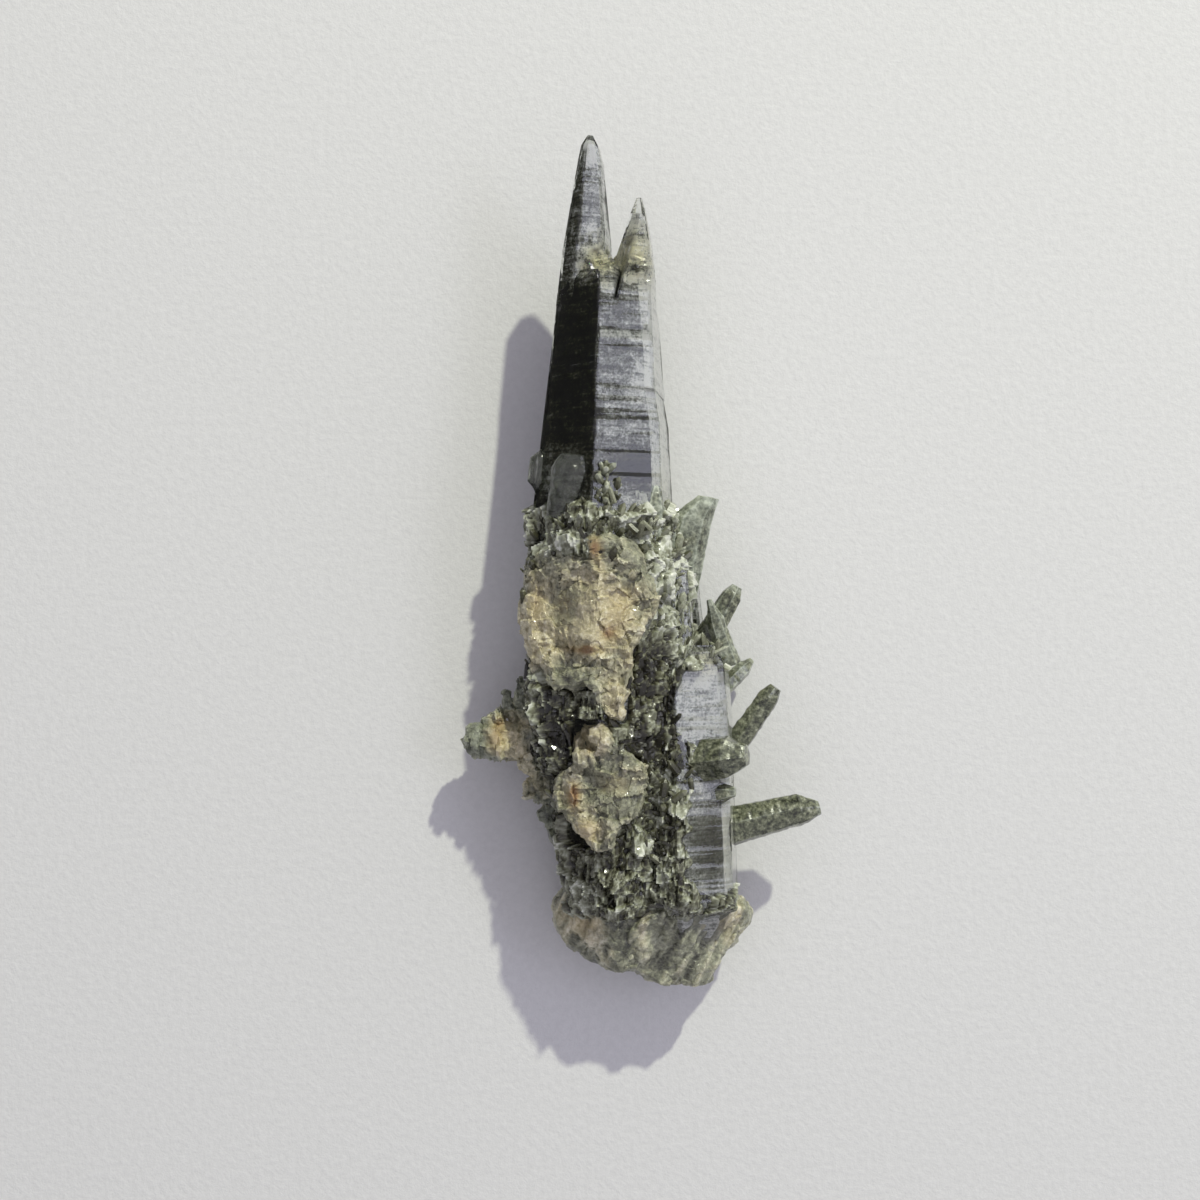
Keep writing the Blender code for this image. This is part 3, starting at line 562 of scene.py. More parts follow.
# Which way the key light is, how the softbox stands, and their distances and sizes in metres.
TO_KEY = Vector((0.338, 0.738, 0.6))
KEY_AWAY = 1.0
SOFTBOX_TILT = math.radians(43)
SOFTBOX_AWAY = 0.6
SOFTBOX_NORTH = 0.06
SOFTBOX_SIZE = (0.3, 0.13)
# The light all round grows between these heights over the horizon, and sooner on the right.
HORIZON = (0.1, 0.5)
HORIZON_LEAN = 0.35
# How far the floor lies under the cluster in millimetres, and how wide it is in metres.
FLOOR_GAP = 0.05
FLOOR_SIZE = 3.0

# Numbers that mix a cell's coordinates, and then shift, multiply and add to stir the result.
MIXERS = (374761393, 668265263, 1442695041, 1274126177)
FIRST_STIR = (13, 1103515245, 12345)
SECOND_STIR = (15, 747796405)
LAST_SHIFT = 16

# Facets: where the jitter of a cell's centre begins and how far it goes, how steep a facet can be, and
# how high.
FACET_JITTER = (0.15, 0.7)
FACET_TILT = 2.4
FACET_OFFSET = 0.8
# Where the seeds start for the facets on the foot of the tips, on crags and on the crust, and for the
# root's fibres. Then the step from one size of facets to the next.
FOOT_SEED = 700
CRAG_FACET_SEED = 31
CRUST_FACET_SEED = 41
FIBRE_SEED = 80
FACET_SEED_STEP = 10


def lattice(cell, seed):
    """A number from 0 to 1 for each whole-numbered cell, by mixing its three coordinates with the seed."""
    mask = np.int64(0xFFFFFFFF)
    x, y, z = (cell[..., i].astype(np.int64) for i in range(3))
    mixed = (x * MIXERS[0] + y * MIXERS[1] + z * MIXERS[2] + seed * MIXERS[3]) & mask
    shift, factor, offset = FIRST_STIR
    mixed = ((mixed ^ (mixed >> shift)) * factor + offset) & mask
    shift, factor = SECOND_STIR
    mixed = ((mixed ^ (mixed >> shift)) * factor) & mask
    return (mixed ^ (mixed >> LAST_SHIFT)) / float(mask)


def noise(points, size, seed):
    """Smooth noise from -1 to 1: the lattice's numbers blended over each cell by its eased distances."""
    scaled = np.asarray(points, float) / size
    low = np.floor(scaled)
    part = scaled - low
    part = part * part * (3 - 2 * part)
    total = np.zeros(scaled.shape[:-1])
    for corner in np.ndindex(2, 2, 2):
        step = np.array(corner)
        weight = np.prod(np.where(step, part, 1 - part), axis=-1)
        total += weight * lattice(low + step, seed)
    return 2 * total - 1


def fractal(points, size, seed, octaves=3):
    """Noise of this size, plus half as much at half the size, and so on."""
    total = sum(0.5**k * noise(points, size / 2**k, seed + k) for k in range(octaves))
    return total / (2 - 0.5 ** (octaves - 1))


def facets(points, size, seed):
    """(height, rim) of a surface broken into flat facets. Each point belongs to the nearest of eight
    jittered cell centres, and its height is the tilt of that centre's plane times the way from the
    centre, plus the plane's own offset. The rim is 1 where two centres are equally near and 0 inside a
    facet."""
    scaled = np.asarray(points, float) / size
    base = np.floor(scaled - 0.5)
    nearest = np.full(scaled.shape[:-1], np.inf)
    second = np.full(scaled.shape[:-1], np.inf)
    height = np.zeros(scaled.shape[:-1])
    least, most = FACET_JITTER
    for corner in np.ndindex(2, 2, 2):
        cell = base + np.array(corner)
        jitter = np.stack([lattice(cell, seed + k) for k in (0, 1, 2)], axis=-1)
        way = scaled - cell - least - most * jitter
        far = np.einsum("...i,...i", way, way)
        tilt = np.stack([lattice(cell, seed + k) for k in (3, 4, 5)], axis=-1) - 0.5
        offset = lattice(cell, seed + 6) - 0.5
        here = far < nearest
        second = np.where(here, nearest, np.minimum(second, far))
        nearest = np.where(here, far, nearest)
        lifted = FACET_TILT * np.einsum("...i,...i", tilt, way) + FACET_OFFSET * offset
        height = np.where(here, lifted, height)
    return height, 1 - ease(np.sqrt(second) - np.sqrt(nearest), *FACET_RIM)


def layered_facets(points, table, seed):
    """(push, rise) of facets of several sizes on top of each other: how far they push the surface out,
    and how pale it gets where they stand up and along their rims."""
    push = 0
    rise = 0
    for k, (wide, tall, share, rim_share) in enumerate(table):
        height, rim = facets(points, wide, seed + FACET_SEED_STEP * k)
        push = push + tall * height
        rise = rise + share * height + rim_share * rim
    return push, rise


def hills(x, y, table):
    """The sum of soft hills: each one's height times exp(-distance squared), with the distance in its
    radii."""
    total = np.zeros(np.shape(x))
    for middle_x, middle_y, wide, long, height in table:
        total += height * np.exp(-(((x - middle_x) / wide) ** 2) - ((y - middle_y) / long) ** 2)
    return total


def inside(x, y, table):
    """1 inside the table's rounded boxes and 0 outside: x, y and the two half widths of each, by the
    sum of the fourth powers of the distances in half widths."""
    total = np.zeros(np.shape(x))
    for middle_x, middle_y, wide, long in table:
        far = ((x - middle_x) / wide) ** 4 + ((y - middle_y) / long) ** 4
        total = np.maximum(total, 1 - ease(far, *BOX_EDGE))
    return total


def ease(value, low, high):
    """0 below low, 1 above high, and an eased slope between."""
    share = np.clip((value - low) / (high - low), 0, 1)
    return share * share * (3 - 2 * share)


def corners(distances, turn):
    """The six corners of a section whose faces lie at these distances: a corner is where two neighbours
    cross, at the distance along the first face's normal and (next - first cos 60) / sin 60 along the
    face."""
    angles = turn + SIXTH * np.arange(6)
    normals = np.stack([np.cos(angles), np.sin(angles)], axis=-1)
    along = np.stack([-np.sin(angles), np.cos(angles)], axis=-1)
    following = np.roll(distances, -1, axis=-1)
    slide = (following - distances * math.cos(SIXTH)) / math.sin(SIXTH)
    return distances[..., None] * normals + slide[..., None] * along


def grid_normals(points):
    """Unit normals of a closed sleeve of points: the cross product of the steps to its neighbours along the
    rows and round the columns."""
    up = np.gradient(points, axis=0)
    around = np.roll(points, -1, axis=1) - np.roll(points, 1, axis=1)
    normal = np.cross(around, up)
    size = np.linalg.norm(normal, axis=-1, keepdims=True)
    return normal / np.maximum(size, 1e-9)


def sleeve(points):
    """(points, faces) of a sleeve of rings, closed by a fan to the middle of its first and of its last
    ring."""
    rows, columns = points.shape[:2]
    index = np.arange(rows * columns).reshape(rows, columns)
    after = np.roll(index, -1, axis=1)
    quads = np.stack([index[:-1], after[:-1], after[1:], index[1:]], axis=-1).reshape(-1, 4)
    ends = np.stack([points[0].mean(axis=0), points[-1].mean(axis=0)])
    first = np.stack([after[0], index[0], np.full(columns, rows * columns)], axis=-1)
    last = np.stack([index[-1], after[-1], np.full(columns, rows * columns + 1)], axis=-1)
    flat = np.concatenate([points.reshape(-1, 3), ends])
    return flat, quads.tolist() + first.tolist() + last.tolist()


def per_point(values):
    """A sleeve's numbers in the order of its points, with the means of the first and last ring at the
    end."""
    return np.concatenate([values.reshape(-1), [values[0].mean(), values[-1].mean()]])


def volume(points, faces):
    """Six times the volume inside the faces, by the triple products of the triangles that make them up."""
    total = 0.0
    for size in (3, 4):
        chosen = np.array([face for face in faces if len(face) == size])
        for k in range(1, size - 1 if len(chosen) else 1):
            a, b, c = (points[chosen[:, i]] for i in (0, k, k + 1))
            total += np.einsum("ij,ij", a, np.cross(b, c))
    return total


def make_piece(name, points, faces, material, sharp=None, **numbers):
    """An object from points in millimetres of the working frame, none lower than the ground, with one
    float attribute for each list of numbers. sharp is the angle past which smooth shading breaks; none
    is flat."""
    placed = (points - ORIGIN) * MM
    placed[:, 2] = np.maximum(placed[:, 2], 0)
    if volume(placed, faces) < 0:
        faces = [face[::-1] for face in faces]
    mesh = bpy.data.meshes.new(name)
    mesh.from_pydata(placed.tolist(), [], faces)
    for key, values in numbers.items():
        made = mesh.attributes.new(key, "FLOAT", "POINT")
        made.data.foreach_set("value", np.ascontiguousarray(values, dtype=np.float32))
    if sharp is None:
        mesh.shade_flat()
    else:
        mesh.shade_smooth()
        mesh.set_sharp_from_angle(angle=math.radians(sharp))
    mesh.materials.append(material)
    piece = bpy.data.objects.new(name, mesh)
    bpy.context.scene.collection.objects.link(piece)
    return piece


def attach(piece):
    """The piece rides on the cluster's body."""
    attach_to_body(piece, BODY)


def node(tree, kind, settings=None, **values):
    """A shader node with these settings. A value that is a socket is linked, any other is set. An
    underscore in its name stands for a space, and a name such as _0 is the socket's number."""
    made = tree.nodes.new("ShaderNode" + kind)
    for key, value in (settings or {}).items():
        setattr(made, key, value)
    for key, value in values.items():
        socket = made.inputs[int(key[1:]) if key[0] == "_" else key.replace("_", " ")]
        if isinstance(value, bpy.types.NodeSocket):
            tree.links.new(value, socket)
        else:
            socket.default_value = value
    return made


def number(tree, name):
    """The socket of a float attribute of the mesh."""
    return node(tree, "Attribute", {"attribute_name": name}).outputs["Fac"]


def spread(tree, value, low, high, to_low=0.0, to_high=1.0):
    """The value carried from one range to another, and held at the ends."""
    ranges = {"From Min": low, "From Max": high, "To Min": to_low, "To Max": to_high}
    return node(tree, "MapRange", Value=value, **ranges).outputs["Result"]


def maths(tree, operation, first, second, clamp=False):
    """One step of arithmetic on sockets or numbers."""
    return node(tree, "Math", {"operation": operation, "use_clamp": clamp}, _0=first, _1=second).outputs[0]


def ramp(tree, factor, stops):
    """A colour ramp over (place, colour) stops."""
    made = node(tree, "ValToRGB", Fac=factor)
    elements = made.color_ramp.elements
    while len(elements) < len(stops):
        elements.new(0.5)
    for element, (place, colour) in zip(elements, stops):
        element.position = place
        element.color = (*colour, 1)
    return made.outputs["Color"]


def mixed(tree, factor, first, second):
    """A blend from the first colour to the second."""
    made = node(tree, "Mix", {"data_type": "RGBA"}, Factor=factor)
    for socket, value in ((made.inputs[6], first), (made.inputs[7], second)):
        if isinstance(value, bpy.types.NodeSocket):
            tree.links.new(value, socket)
        else:
            socket.default_value = (*value, 1)
    return made.outputs[2]


def clouds(tree, size, detail=3.0, rough=0.6, stretch=(1, 1, 1)):
    """Noise of about this size in millimetres, in object coordinates, drawn out along the axes by
    stretch."""
    place = node(tree, "TexCoord").outputs["Object"]
    if stretch != (1, 1, 1):
        scale = tuple(1 / s for s in stretch)
        place = node(tree, "Mapping", Vector=place, Scale=scale).outputs["Vector"]
    made = node(tree, "TexNoise", Vector=place, Scale=1 / (size * MM), Detail=detail, Roughness=rough)
    return made.outputs["Fac"]


def bumped(tree, height, depth, strength=1.0):
    """A bump normal of this depth in millimetres."""
    return node(tree, "Bump", Height=height, Distance=depth * MM, Strength=strength).outputs["Normal"]


def new_material(name):
    """(material, its node tree, its Principled BSDF)"""
    made = bpy.data.materials.new(name)
    made.use_nodes = True
    return made, made.node_tree, made.node_tree.nodes["Principled BSDF"]


def set_values(shader, **values):
    """Sets a shader's own sockets, or links them; an underscore in a name stands for a space."""
    for key, value in values.items():
        socket = shader.inputs[key.replace("_", " ")]
        if isinstance(value, bpy.types.NodeSocket):
            shader.id_data.links.new(value, socket)
        else:
            socket.default_value = value


def clear_quartz(crystal):
    """Clear rock crystal with a faint grey-green depth."""
    made, tree, shader = new_material("clear quartz")
    set_values(
        shader, Base_Color=(0.97, 0.98, 0.97, 1), Roughness=crystal.polish, IOR=QUARTZ_IOR,
        Transmission_Weight=1.0,
    )
    depth = node(tree, "VolumeAbsorption", Color=(*crystal.depth_colour, 1), Density=crystal.depth_density)
    tree.links.new(depth.outputs["Volume"], tree.nodes["Material Output"].inputs["Volume"])
    return made


def phantom_chlorite(chlorite):
    """Chlorite under the clear faces, from near-black moss to silver veils: the mesh says how pale and
    how olive, and noise drawn out across the faces breaks it into lines, bands and flecks. How pale it is
    holds painted sheen on the faces turned to the right, painted light in the right side's margin, a
    painted glint at the spire's tip, and the crack's painted shade."""
    made, tree, shader = new_material("phantom chlorite")
    uneven = 0.0
    for size, detail, rough, stretch, strength in PHANTOM_NOISES:
        level = maths(tree, "SUBTRACT", clouds(tree, size, detail, rough, stretch), 0.5)
        uneven = maths(tree, "ADD", maths(tree, "MULTIPLY", level, strength), uneven)
    pale = number(tree, "veil")
    left = maths(tree, "SUBTRACT", 1.0, number(tree, "even"))
    strength = maths(tree, "MULTIPLY", spread(tree, pale, *PHANTOM_UNEVEN), left)
    level = maths(tree, "ADD", pale, maths(tree, "MULTIPLY", uneven, strength))
    colours = (
        chlorite.moss_dark, chlorite.moss, chlorite.moss_pale, chlorite.veil_dark, chlorite.veil,
        chlorite.veil_pale,
    )
    colour = ramp(tree, level, list(zip(PHANTOM_LEVELS, colours)))
    olive = node(tree, "Mix", {"data_type": "RGBA", "blend_type": "MULTIPLY"}, Factor=number(tree, "olive"))
    tree.links.new(colour, olive.inputs[6])
    olive.inputs[7].default_value = (*chlorite.olive, 1)
    # Painted shade: near-black on the phantom in the crack's depth.
    colour = mixed(tree, number(tree, "crack"), olive.outputs[2], CRACK_SHADE_COLOUR)
    set_values(shader, Base_Color=colour, Roughness=0.5, Normal=bumped(tree, level, 0.05))
    return made


def side_quartz():
    """Quartz clouded by chlorite through and through: olive specks, paler at the edges and towards the
    tip."""
    made, tree, shader = new_material("side quartz")
    grain = clouds(tree, 0.62, 4.0, 0.7)
    patches = clouds(tree, 2.6, 3.0, 0.6)
    body = ramp(tree, grain, SIDE_BODY)
    pale = ramp(tree, grain, SIDE_PALE)
    wander = maths(tree, "MULTIPLY", maths(tree, "SUBTRACT", patches, 0.5), 1.8)
    share = spread(tree, maths(tree, "ADD", number(tree, "pale"), wander), 0.0, 0.9)
    set_values(
        shader, Base_Color=mixed(tree, share, body, pale), Roughness=0.22, IOR=QUARTZ_IOR, Coat_Weight=0.6,
        Coat_Roughness=0.08, Normal=bumped(tree, grain, 0.05),
    )
    return made


def plate_quartz():
    """A thin plate of slightly milky quartz that lets the dark behind it through."""
    made, tree, shader = new_material("plate quartz")
    haze = clouds(tree, 1.6, 4.0, 0.6)
    set_values(
        shader, Base_Color=ramp(tree, haze, PLATE_HAZE), Roughness=0.16, IOR=QUARTZ_IOR,
        Transmission_Weight=0.93, Normal=bumped(tree, haze, 0.12),
    )
    return made


def broken_quartz(scar, name, dull):
    """Broken quartz: cream where milky, grey-green where clearer, with rust from gold to red in the stains,
    and painted light where its facets stand up and painted shade where they sink. dull is the colour of
    the clearer quartz."""
    made, tree, shader = new_material(name)
    grain = clouds(tree, 0.5, 6.0, 0.8)
    patches = clouds(tree, 1.9, 5.0, 0.7)
    # Painted light and shade: the grain, made paler where the facets stand up.
    lit = maths(tree, "ADD", grain, maths(tree, "MULTIPLY", number(tree, "rise"), 0.16))
    milk = ramp(tree, lit, list(zip(MILK_LEVELS, (scar.milk_shade, scar.milk, scar.milk_rim))))
    moss = ramp(tree, lit, [
        (place, tuple(min(1, share * part) for part in dull)) for place, share in CLEARER_LEVELS
    ])
    wander = maths(tree, "MULTIPLY", maths(tree, "SUBTRACT", patches, 0.5), 1.3)
    milky = maths(tree, "ADD", number(tree, "milk"), wander)
    # Painted light: more milk where the facets stand up.
    milky = maths(tree, "ADD", milky, maths(tree, "MULTIPLY", number(tree, "rise"), 0.35))
    milky = spread(tree, milky, 0.1, 0.8)
    base = mixed(tree, milky, moss, milk)
    rust = ramp(tree, number(tree, "stain"), list(zip(RUST_LEVELS, (scar.gold, scar.ochre, scar.rust))))
    stained = maths(tree, "ADD", number(tree, "stain"), maths(tree, "MULTIPLY", wander, 0.35))
    stained = spread(tree, stained, 0.1, 0.9, 0.0, 0.75)
    set_values(
        shader, Base_Color=mixed(tree, stained, base, rust), Roughness=0.3, IOR=QUARTZ_IOR,
        Subsurface_Weight=0.3, Subsurface_Radius=(0.9, 0.9, 0.75), Subsurface_Scale=0.0006, Coat_Weight=0.5,
        Coat_Roughness=0.12, Normal=bumped(tree, grain, 0.13),
    )
    return made


def druse_quartz(chlorite, name):
    """Sugary druse: dark olive and brown in its hollows, grey-green on its flanks, whitish on what
    stands up."""
    made, tree, shader = new_material(name)
    grain = clouds(tree, 0.3, 4.0, 0.75)
    patches = clouds(tree, 2.8, 3.0, 0.6)
    level = maths(tree, "ADD", number(tree, "rise"), maths(tree, "MULTIPLY", grain, 0.55))
    level = maths(tree, "ADD", level, maths(tree, "MULTIPLY", patches, 0.5))
    level = spread(tree, level, 0.22, 1.4)
    colours = (
        chlorite.hollow, chlorite.druse_dark, chlorite.druse, chlorite.druse_pale, chlorite.druse_rim,
    )
    set_values(
        shader, Base_Color=ramp(tree, level, list(zip(DRUSE_LEVELS, colours))), Roughness=0.25,
        IOR=QUARTZ_IOR, Coat_Weight=0.35, Coat_Roughness=0.1, Normal=bumped(tree, grain, 0.06),
    )
    return made


def paper_floor(stage):
    """Pale paper with a faint grain."""
    made, tree, shader = new_material("pale paper")
    grain = clouds(tree, 0.9, 4.0, 0.7)
    pale = tuple(stage.floor_colour)
    colour = ramp(tree, grain, [(0.35, tuple(PAPER_GRAIN * part for part in pale)), (0.65, pale)])
    set_values(
        shader, Base_Color=colour, Roughness=0.85, Specular_IOR_Level=0.2, Normal=bumped(tree, grain, 0.09)
    )
    return made


def centre_line(stations, y):
    """(x, z, radius to the corners) of a column at each y, read off straight lines between its stations."""
    table = np.array(sorted(stations))
    return tuple(np.interp(y, table[:, 0], table[:, k]) for k in (1, 2, 3))


def column_grid(stations, shares, low, high, step, depth, height, seed, across_face=FACE_POINTS):
    """(points, face of each point) of a column as rings at even steps of y. A ring is the six-cornered
    section of the stations there, depth under its faces. Lines across the faces push its points along
    their face's normal: noises drawn out round the column, and terraces, all times height, faded out at
    the edges."""
    rows = np.linspace(low, high, int((high - low) / step) + 2)
    x, z, radius = centre_line(stations, rows)
    distances = radius[:, None] * FLAT_TO_CORNER * np.array(shares) - np.array(depth)
    section = corners(np.maximum(distances, LEAST_DISTANCE), FACE_TURN)
    share = across_face[:, None]
    following = np.roll(section, -1, axis=1)
    sides = section[:, :, None] * (1 - share) + following[:, :, None] * share
    wide = np.linalg.norm(following - section, axis=-1)[..., None]
    face = np.broadcast_to((np.arange(6)[:, None] + 1) % 6, (6, len(across_face)))
    angle = FACE_TURN + SIXTH * face
    normal = np.stack([np.cos(angle), np.sin(angle)], axis=-1)
    across = wide * across_face
    along = np.broadcast_to(rows[:, None, None], across.shape)
    where = np.stack([
        across * ACROSS_STRETCH, along, np.broadcast_to(face * FACE_NOISE_STEP, across.shape),
    ], axis=-1)
    strong = ease(noise(where, STRIA_FADE, seed + 9), *STRIA_RANGE)
    strength = STRIA_LEAST + (1 - STRIA_LEAST) * strong
    lines = sum(tall * noise(where, long, seed + k) for k, (long, tall) in enumerate(STRIAE))
    terraces = noise(where, TERRACE_LENGTH, seed + 20) * TERRACE_LEVELS
    terraces = (np.floor(terraces) + ease(terraces - np.floor(terraces), *TERRACE_STEP)) / TERRACE_LEVELS
    edge = np.clip(np.minimum(across, wide - across) / EDGE_FADE, 0, 1)
    push = height * edge * (strength * lines + TERRACE_HEIGHT * terraces)
    sides = sides + push[..., None] * normal
    points = np.empty(sides.shape[:3] + (3,))
    points[..., 0] = x[:, None, None] + sides[..., 0]
    points[..., 1] = along
    points[..., 2] = z[:, None, None] + sides[..., 1]
    return points.reshape(len(rows), -1, 3), np.broadcast_to(face, across.shape).reshape(len(rows), -1)


def add_ledges(points, face):
    """Lowers the upper right face towards the tip at each ledge, by its drop times an eased step, and
    gives back what lies behind it, so that the face keeps its place between ledges."""
    y = points[..., 1]
    push = np.zeros(y.shape)
    for middle, long, drop in LEDGES:
        step = ease(y, middle - long / 2, middle + long / 2)
        near = np.exp(-(((y - middle) / (LEDGE_REACH * long)) ** 2))
        push += drop * (0.5 - step) * near
    angle = FACE_TURN + SIXTH * UPPER_RIGHT
    on = np.where(face == UPPER_RIGHT, 1.0, 0.0) * push
    points[..., 0] += on * math.cos(angle)
    points[..., 2] += on * math.sin(angle)
    return points


def break_foot(points):
    """Breaks the foot of the tips into facets, pushed along the normals, by the hills of BROKEN_AT."""
    broken = np.clip(hills(points[..., 0], points[..., 1], BROKEN_AT), 0, 1)
    push, _ = layered_facets(points, FOOT_FACETS, FOOT_SEED)
    return points + (broken * push)[..., None] * grid_normals(points)


def along_crack(x, y):
    """1 in the crack and 0 away from it, by how near x is to the line between the crack's ends."""
    (x_one, y_one), (x_two, y_two), half = CRACK
    line = np.interp(y, (y_two, y_one), (x_two, x_one))
    narrow = np.interp(y, (y_two, y_one), (CRACK_NARROW * half, half))
    near = 1 - ease(np.abs(x - line) / narrow, *CRACK_EDGE)
    low, high = CRACK_ENDS
    return near * ease(y, y_two - low, y_two + low) * ease(y_one + high - y, 0.0, high)


def crack_wedge():
    """(points, faces) of the wedge that opens the crack: a long prism, three-cornered, with its edge
    down."""
    (start, end, _), (bottoms, halves, top) = CRACK, CRACK_WEDGE
    points = []
    for (x, y), bottom, half in zip((start, end), bottoms, halves):
        points += [(x - half, y, top), (x + half, y, top), (x, y, bottom)]
    faces = [[0, 1, 2], [5, 4, 3], [0, 3, 4, 1], [1, 4, 5, 2], [2, 5, 3, 0]]
    return np.array(points, float), faces


def leaning_grid(foot, tip, wide, narrow, point, blunt, aside, roll, flat, seed, rough, rounding):
    """(points, pale) of a leaning crystal: six-cornered rings, a little rounded, from foot to shoulder
    to a blunt end, closed by a low dome, and pushed along their normals by noise. Pale is high near the
    corners and at the tip."""
    foot, tip = Vector(foot), Vector(tip)
    way = tip - foot
    turn = np.array(way.to_track_quat("Z", "Y").to_matrix())
    length = way.length
    body_step, point_step = LEANING_STEPS
    body = np.linspace(0, 1 - point, int((1 - point) * length / body_step) + 3)
    top = np.linspace(1 - point, 1, int(point * length / point_step) + 3)[1:]
    share = np.concatenate([body, top, 1 + DOME_HEIGHT * DOME_AT / length])
    ends = [0.0, 1 - point, 1.0]
    radius = np.interp(share, ends, [wide, narrow, narrow * blunt])
    radius[-len(DOME_WIDE):] *= DOME_WIDE
    shift = np.interp(share, ends, [aside, aside, 0.0]) * narrow
    angles = math.radians(roll) + SIXTH * np.arange(6)
    knots = np.stack([np.cos(angles), np.sin(angles)], axis=-1)
    along = np.linspace(0, 1, LEANING_SIDE, endpoint=False)[:, None]
    ring = (knots[:, None] * (1 - along) + np.roll(knots, -1, axis=0)[:, None] * along).reshape(-1, 2)
    rounder = ring / np.linalg.norm(ring, axis=-1, keepdims=True)
    ring = (1 - rounding) * ring + rounding * rounder
    local = np.empty((len(share), len(ring), 3))
    local[..., 0] = radius[:, None] * ring[:, 0] + shift[:, None]
    local[..., 1] = radius[:, None] * flat * ring[:, 1]
    local[..., 2] = (share * length)[:, None]
    points = np.array(foot) + local @ turn.T
    normal = grid_normals(points)
    (coarse, coarse_share), (fine, fine_share) = LEANING_NOISE, LEANING_LINES
    lines = noise(local * LEANING_STRETCH, fine, seed + 5)
    push = rough * (coarse_share * fractal(points, coarse, seed) + fine_share * lines)
    end, over, least = LEANING_FADE
    fade = np.clip((end - share) / over, least, 1)[:, None]
    points = points + (push * fade)[..., None] * normal
    half = LEANING_SIDE // 2
    corner = np.abs(((np.arange(len(ring)) + half) % LEANING_SIDE) - half) / half
    margin = np.clip(1 - PALE_NARROW * corner, 0, 1)
    return points, margin * PALE_MARGIN + ease(share, PALE_FROM, 1.0)[:, None] * PALE_TIP


def roughen(points, seed):
    """(points, rise) with the facets of broken quartz pushed along the normals; rise is how far they
    stand up."""
    push, rise = layered_facets(points, BROKEN_FACETS, seed)
    return points + push[..., None] * grid_normals(points), rise


def closed_curve(outline, columns):
    """Points spaced evenly round a smooth closed curve through the outline. Between two knots it is the
    cubic that runs through both, with the slope at each taken from the knots on either side of it."""
    knots = np.array(outline, float)
    count = len(knots)
    at = np.arange(columns) / columns * count
    low = np.floor(at).astype(int)
    t = (at - low)[:, None]
    a, b, c, d = (knots[(low + k) % count] for k in (-1, 0, 1, 2))
    return 0.5 * (2 * b + (c - a) * t + (2 * a - 5 * b + 4 * c - d) * t**2 + (3 * b - a - 3 * c + d) * t**3)


def crag_grid(name, outline, rim, lip, dish, root, drape, seed):
    """(points, rise) of a crag: rings of its outline from the root over the rim to the middle, at root
    + (rim - root) up + lip - dish + the fall of its drape, pushed about by coarse noise, then along its
    normals by hills and by facets. Rise is how far the fine facets stand up."""
    columns, rows = CRAG_GRID[name]
    edge = closed_curve(outline, columns)
    middle = edge.mean(axis=0)
    knots = np.concatenate([[0], np.cumsum(CRAG_SPACING)])
    at = np.linspace(0, knots[-1], rows)
    size, up, lipped, dished = (np.interp(at, knots, CRAG_RINGS[:, k])[:, None] for k in range(4))
    points = np.empty((rows, columns, 3))
    points[..., :2] = middle + (edge - middle) * size[..., None]
    ridge, left, right, along = drape
    aside = points[..., 0] - ridge
    fall = left * np.minimum(aside, 0) + right * np.maximum(aside, 0) + along * (points[..., 1] - middle[1])
    grown = CRAG_ROOT_SHARE + (1 - CRAG_ROOT_SHARE) * up
    points[..., 2] = root + (rim - root) * up + lip * lipped - dish * dished + fall * grown
    rough = np.stack([noise(points + FIELD_STEP * k, CRAG_GRAIN, seed + k) for k in range(3)], axis=-1)
    points = points + CRAG_ROUGHNESS * rough * grown[..., None]
    on_top = ease(lipped, 0.2, 1.0)
    points[..., 2] += on_top * hills(points[..., 0], points[..., 1], SCAR_FORMS.get(name, []))
    normal = grid_normals(points)
    calm = ROOT_CALM
    if name in CALM:
        calm = 1 - CALM_SHARE * np.clip(hills(points[..., 0], points[..., 1], CALM[name]), 0, 1)
    push, rise = layered_facets(points, CRAG_FACETS, seed + CRAG_FACET_SEED)
    points = points + (push * calm * grown)[..., None] * normal
    return points, rise * calm


def add_fibres(points, seed):
    """(points, ridges) with slanting fibres: ridged noise, drawn out along a direction across the root,
    pushed along the normals."""
    turned = points.copy()
    cos, sin = math.cos(FIBRE_TURN), math.sin(FIBRE_TURN)
    turned[..., 0] = (points[..., 0] * cos + points[..., 1] * sin) * FIBRE_WIDTH / FIBRE_LENGTH
    turned[..., 1] = -points[..., 0] * sin + points[..., 1] * cos
    turned[..., 2] = points[..., 2] * FIBRE_STEEP
    ridges = 1 - 2 * np.abs(noise(turned, FIBRE_WIDTH * 2, seed))
    ridges += 0.5 * (1 - 2 * np.abs(noise(turned, FIBRE_WIDTH, seed + 1)))
    return points + (FIBRE_HEIGHT * ridges)[..., None] * grid_normals(points), ridges


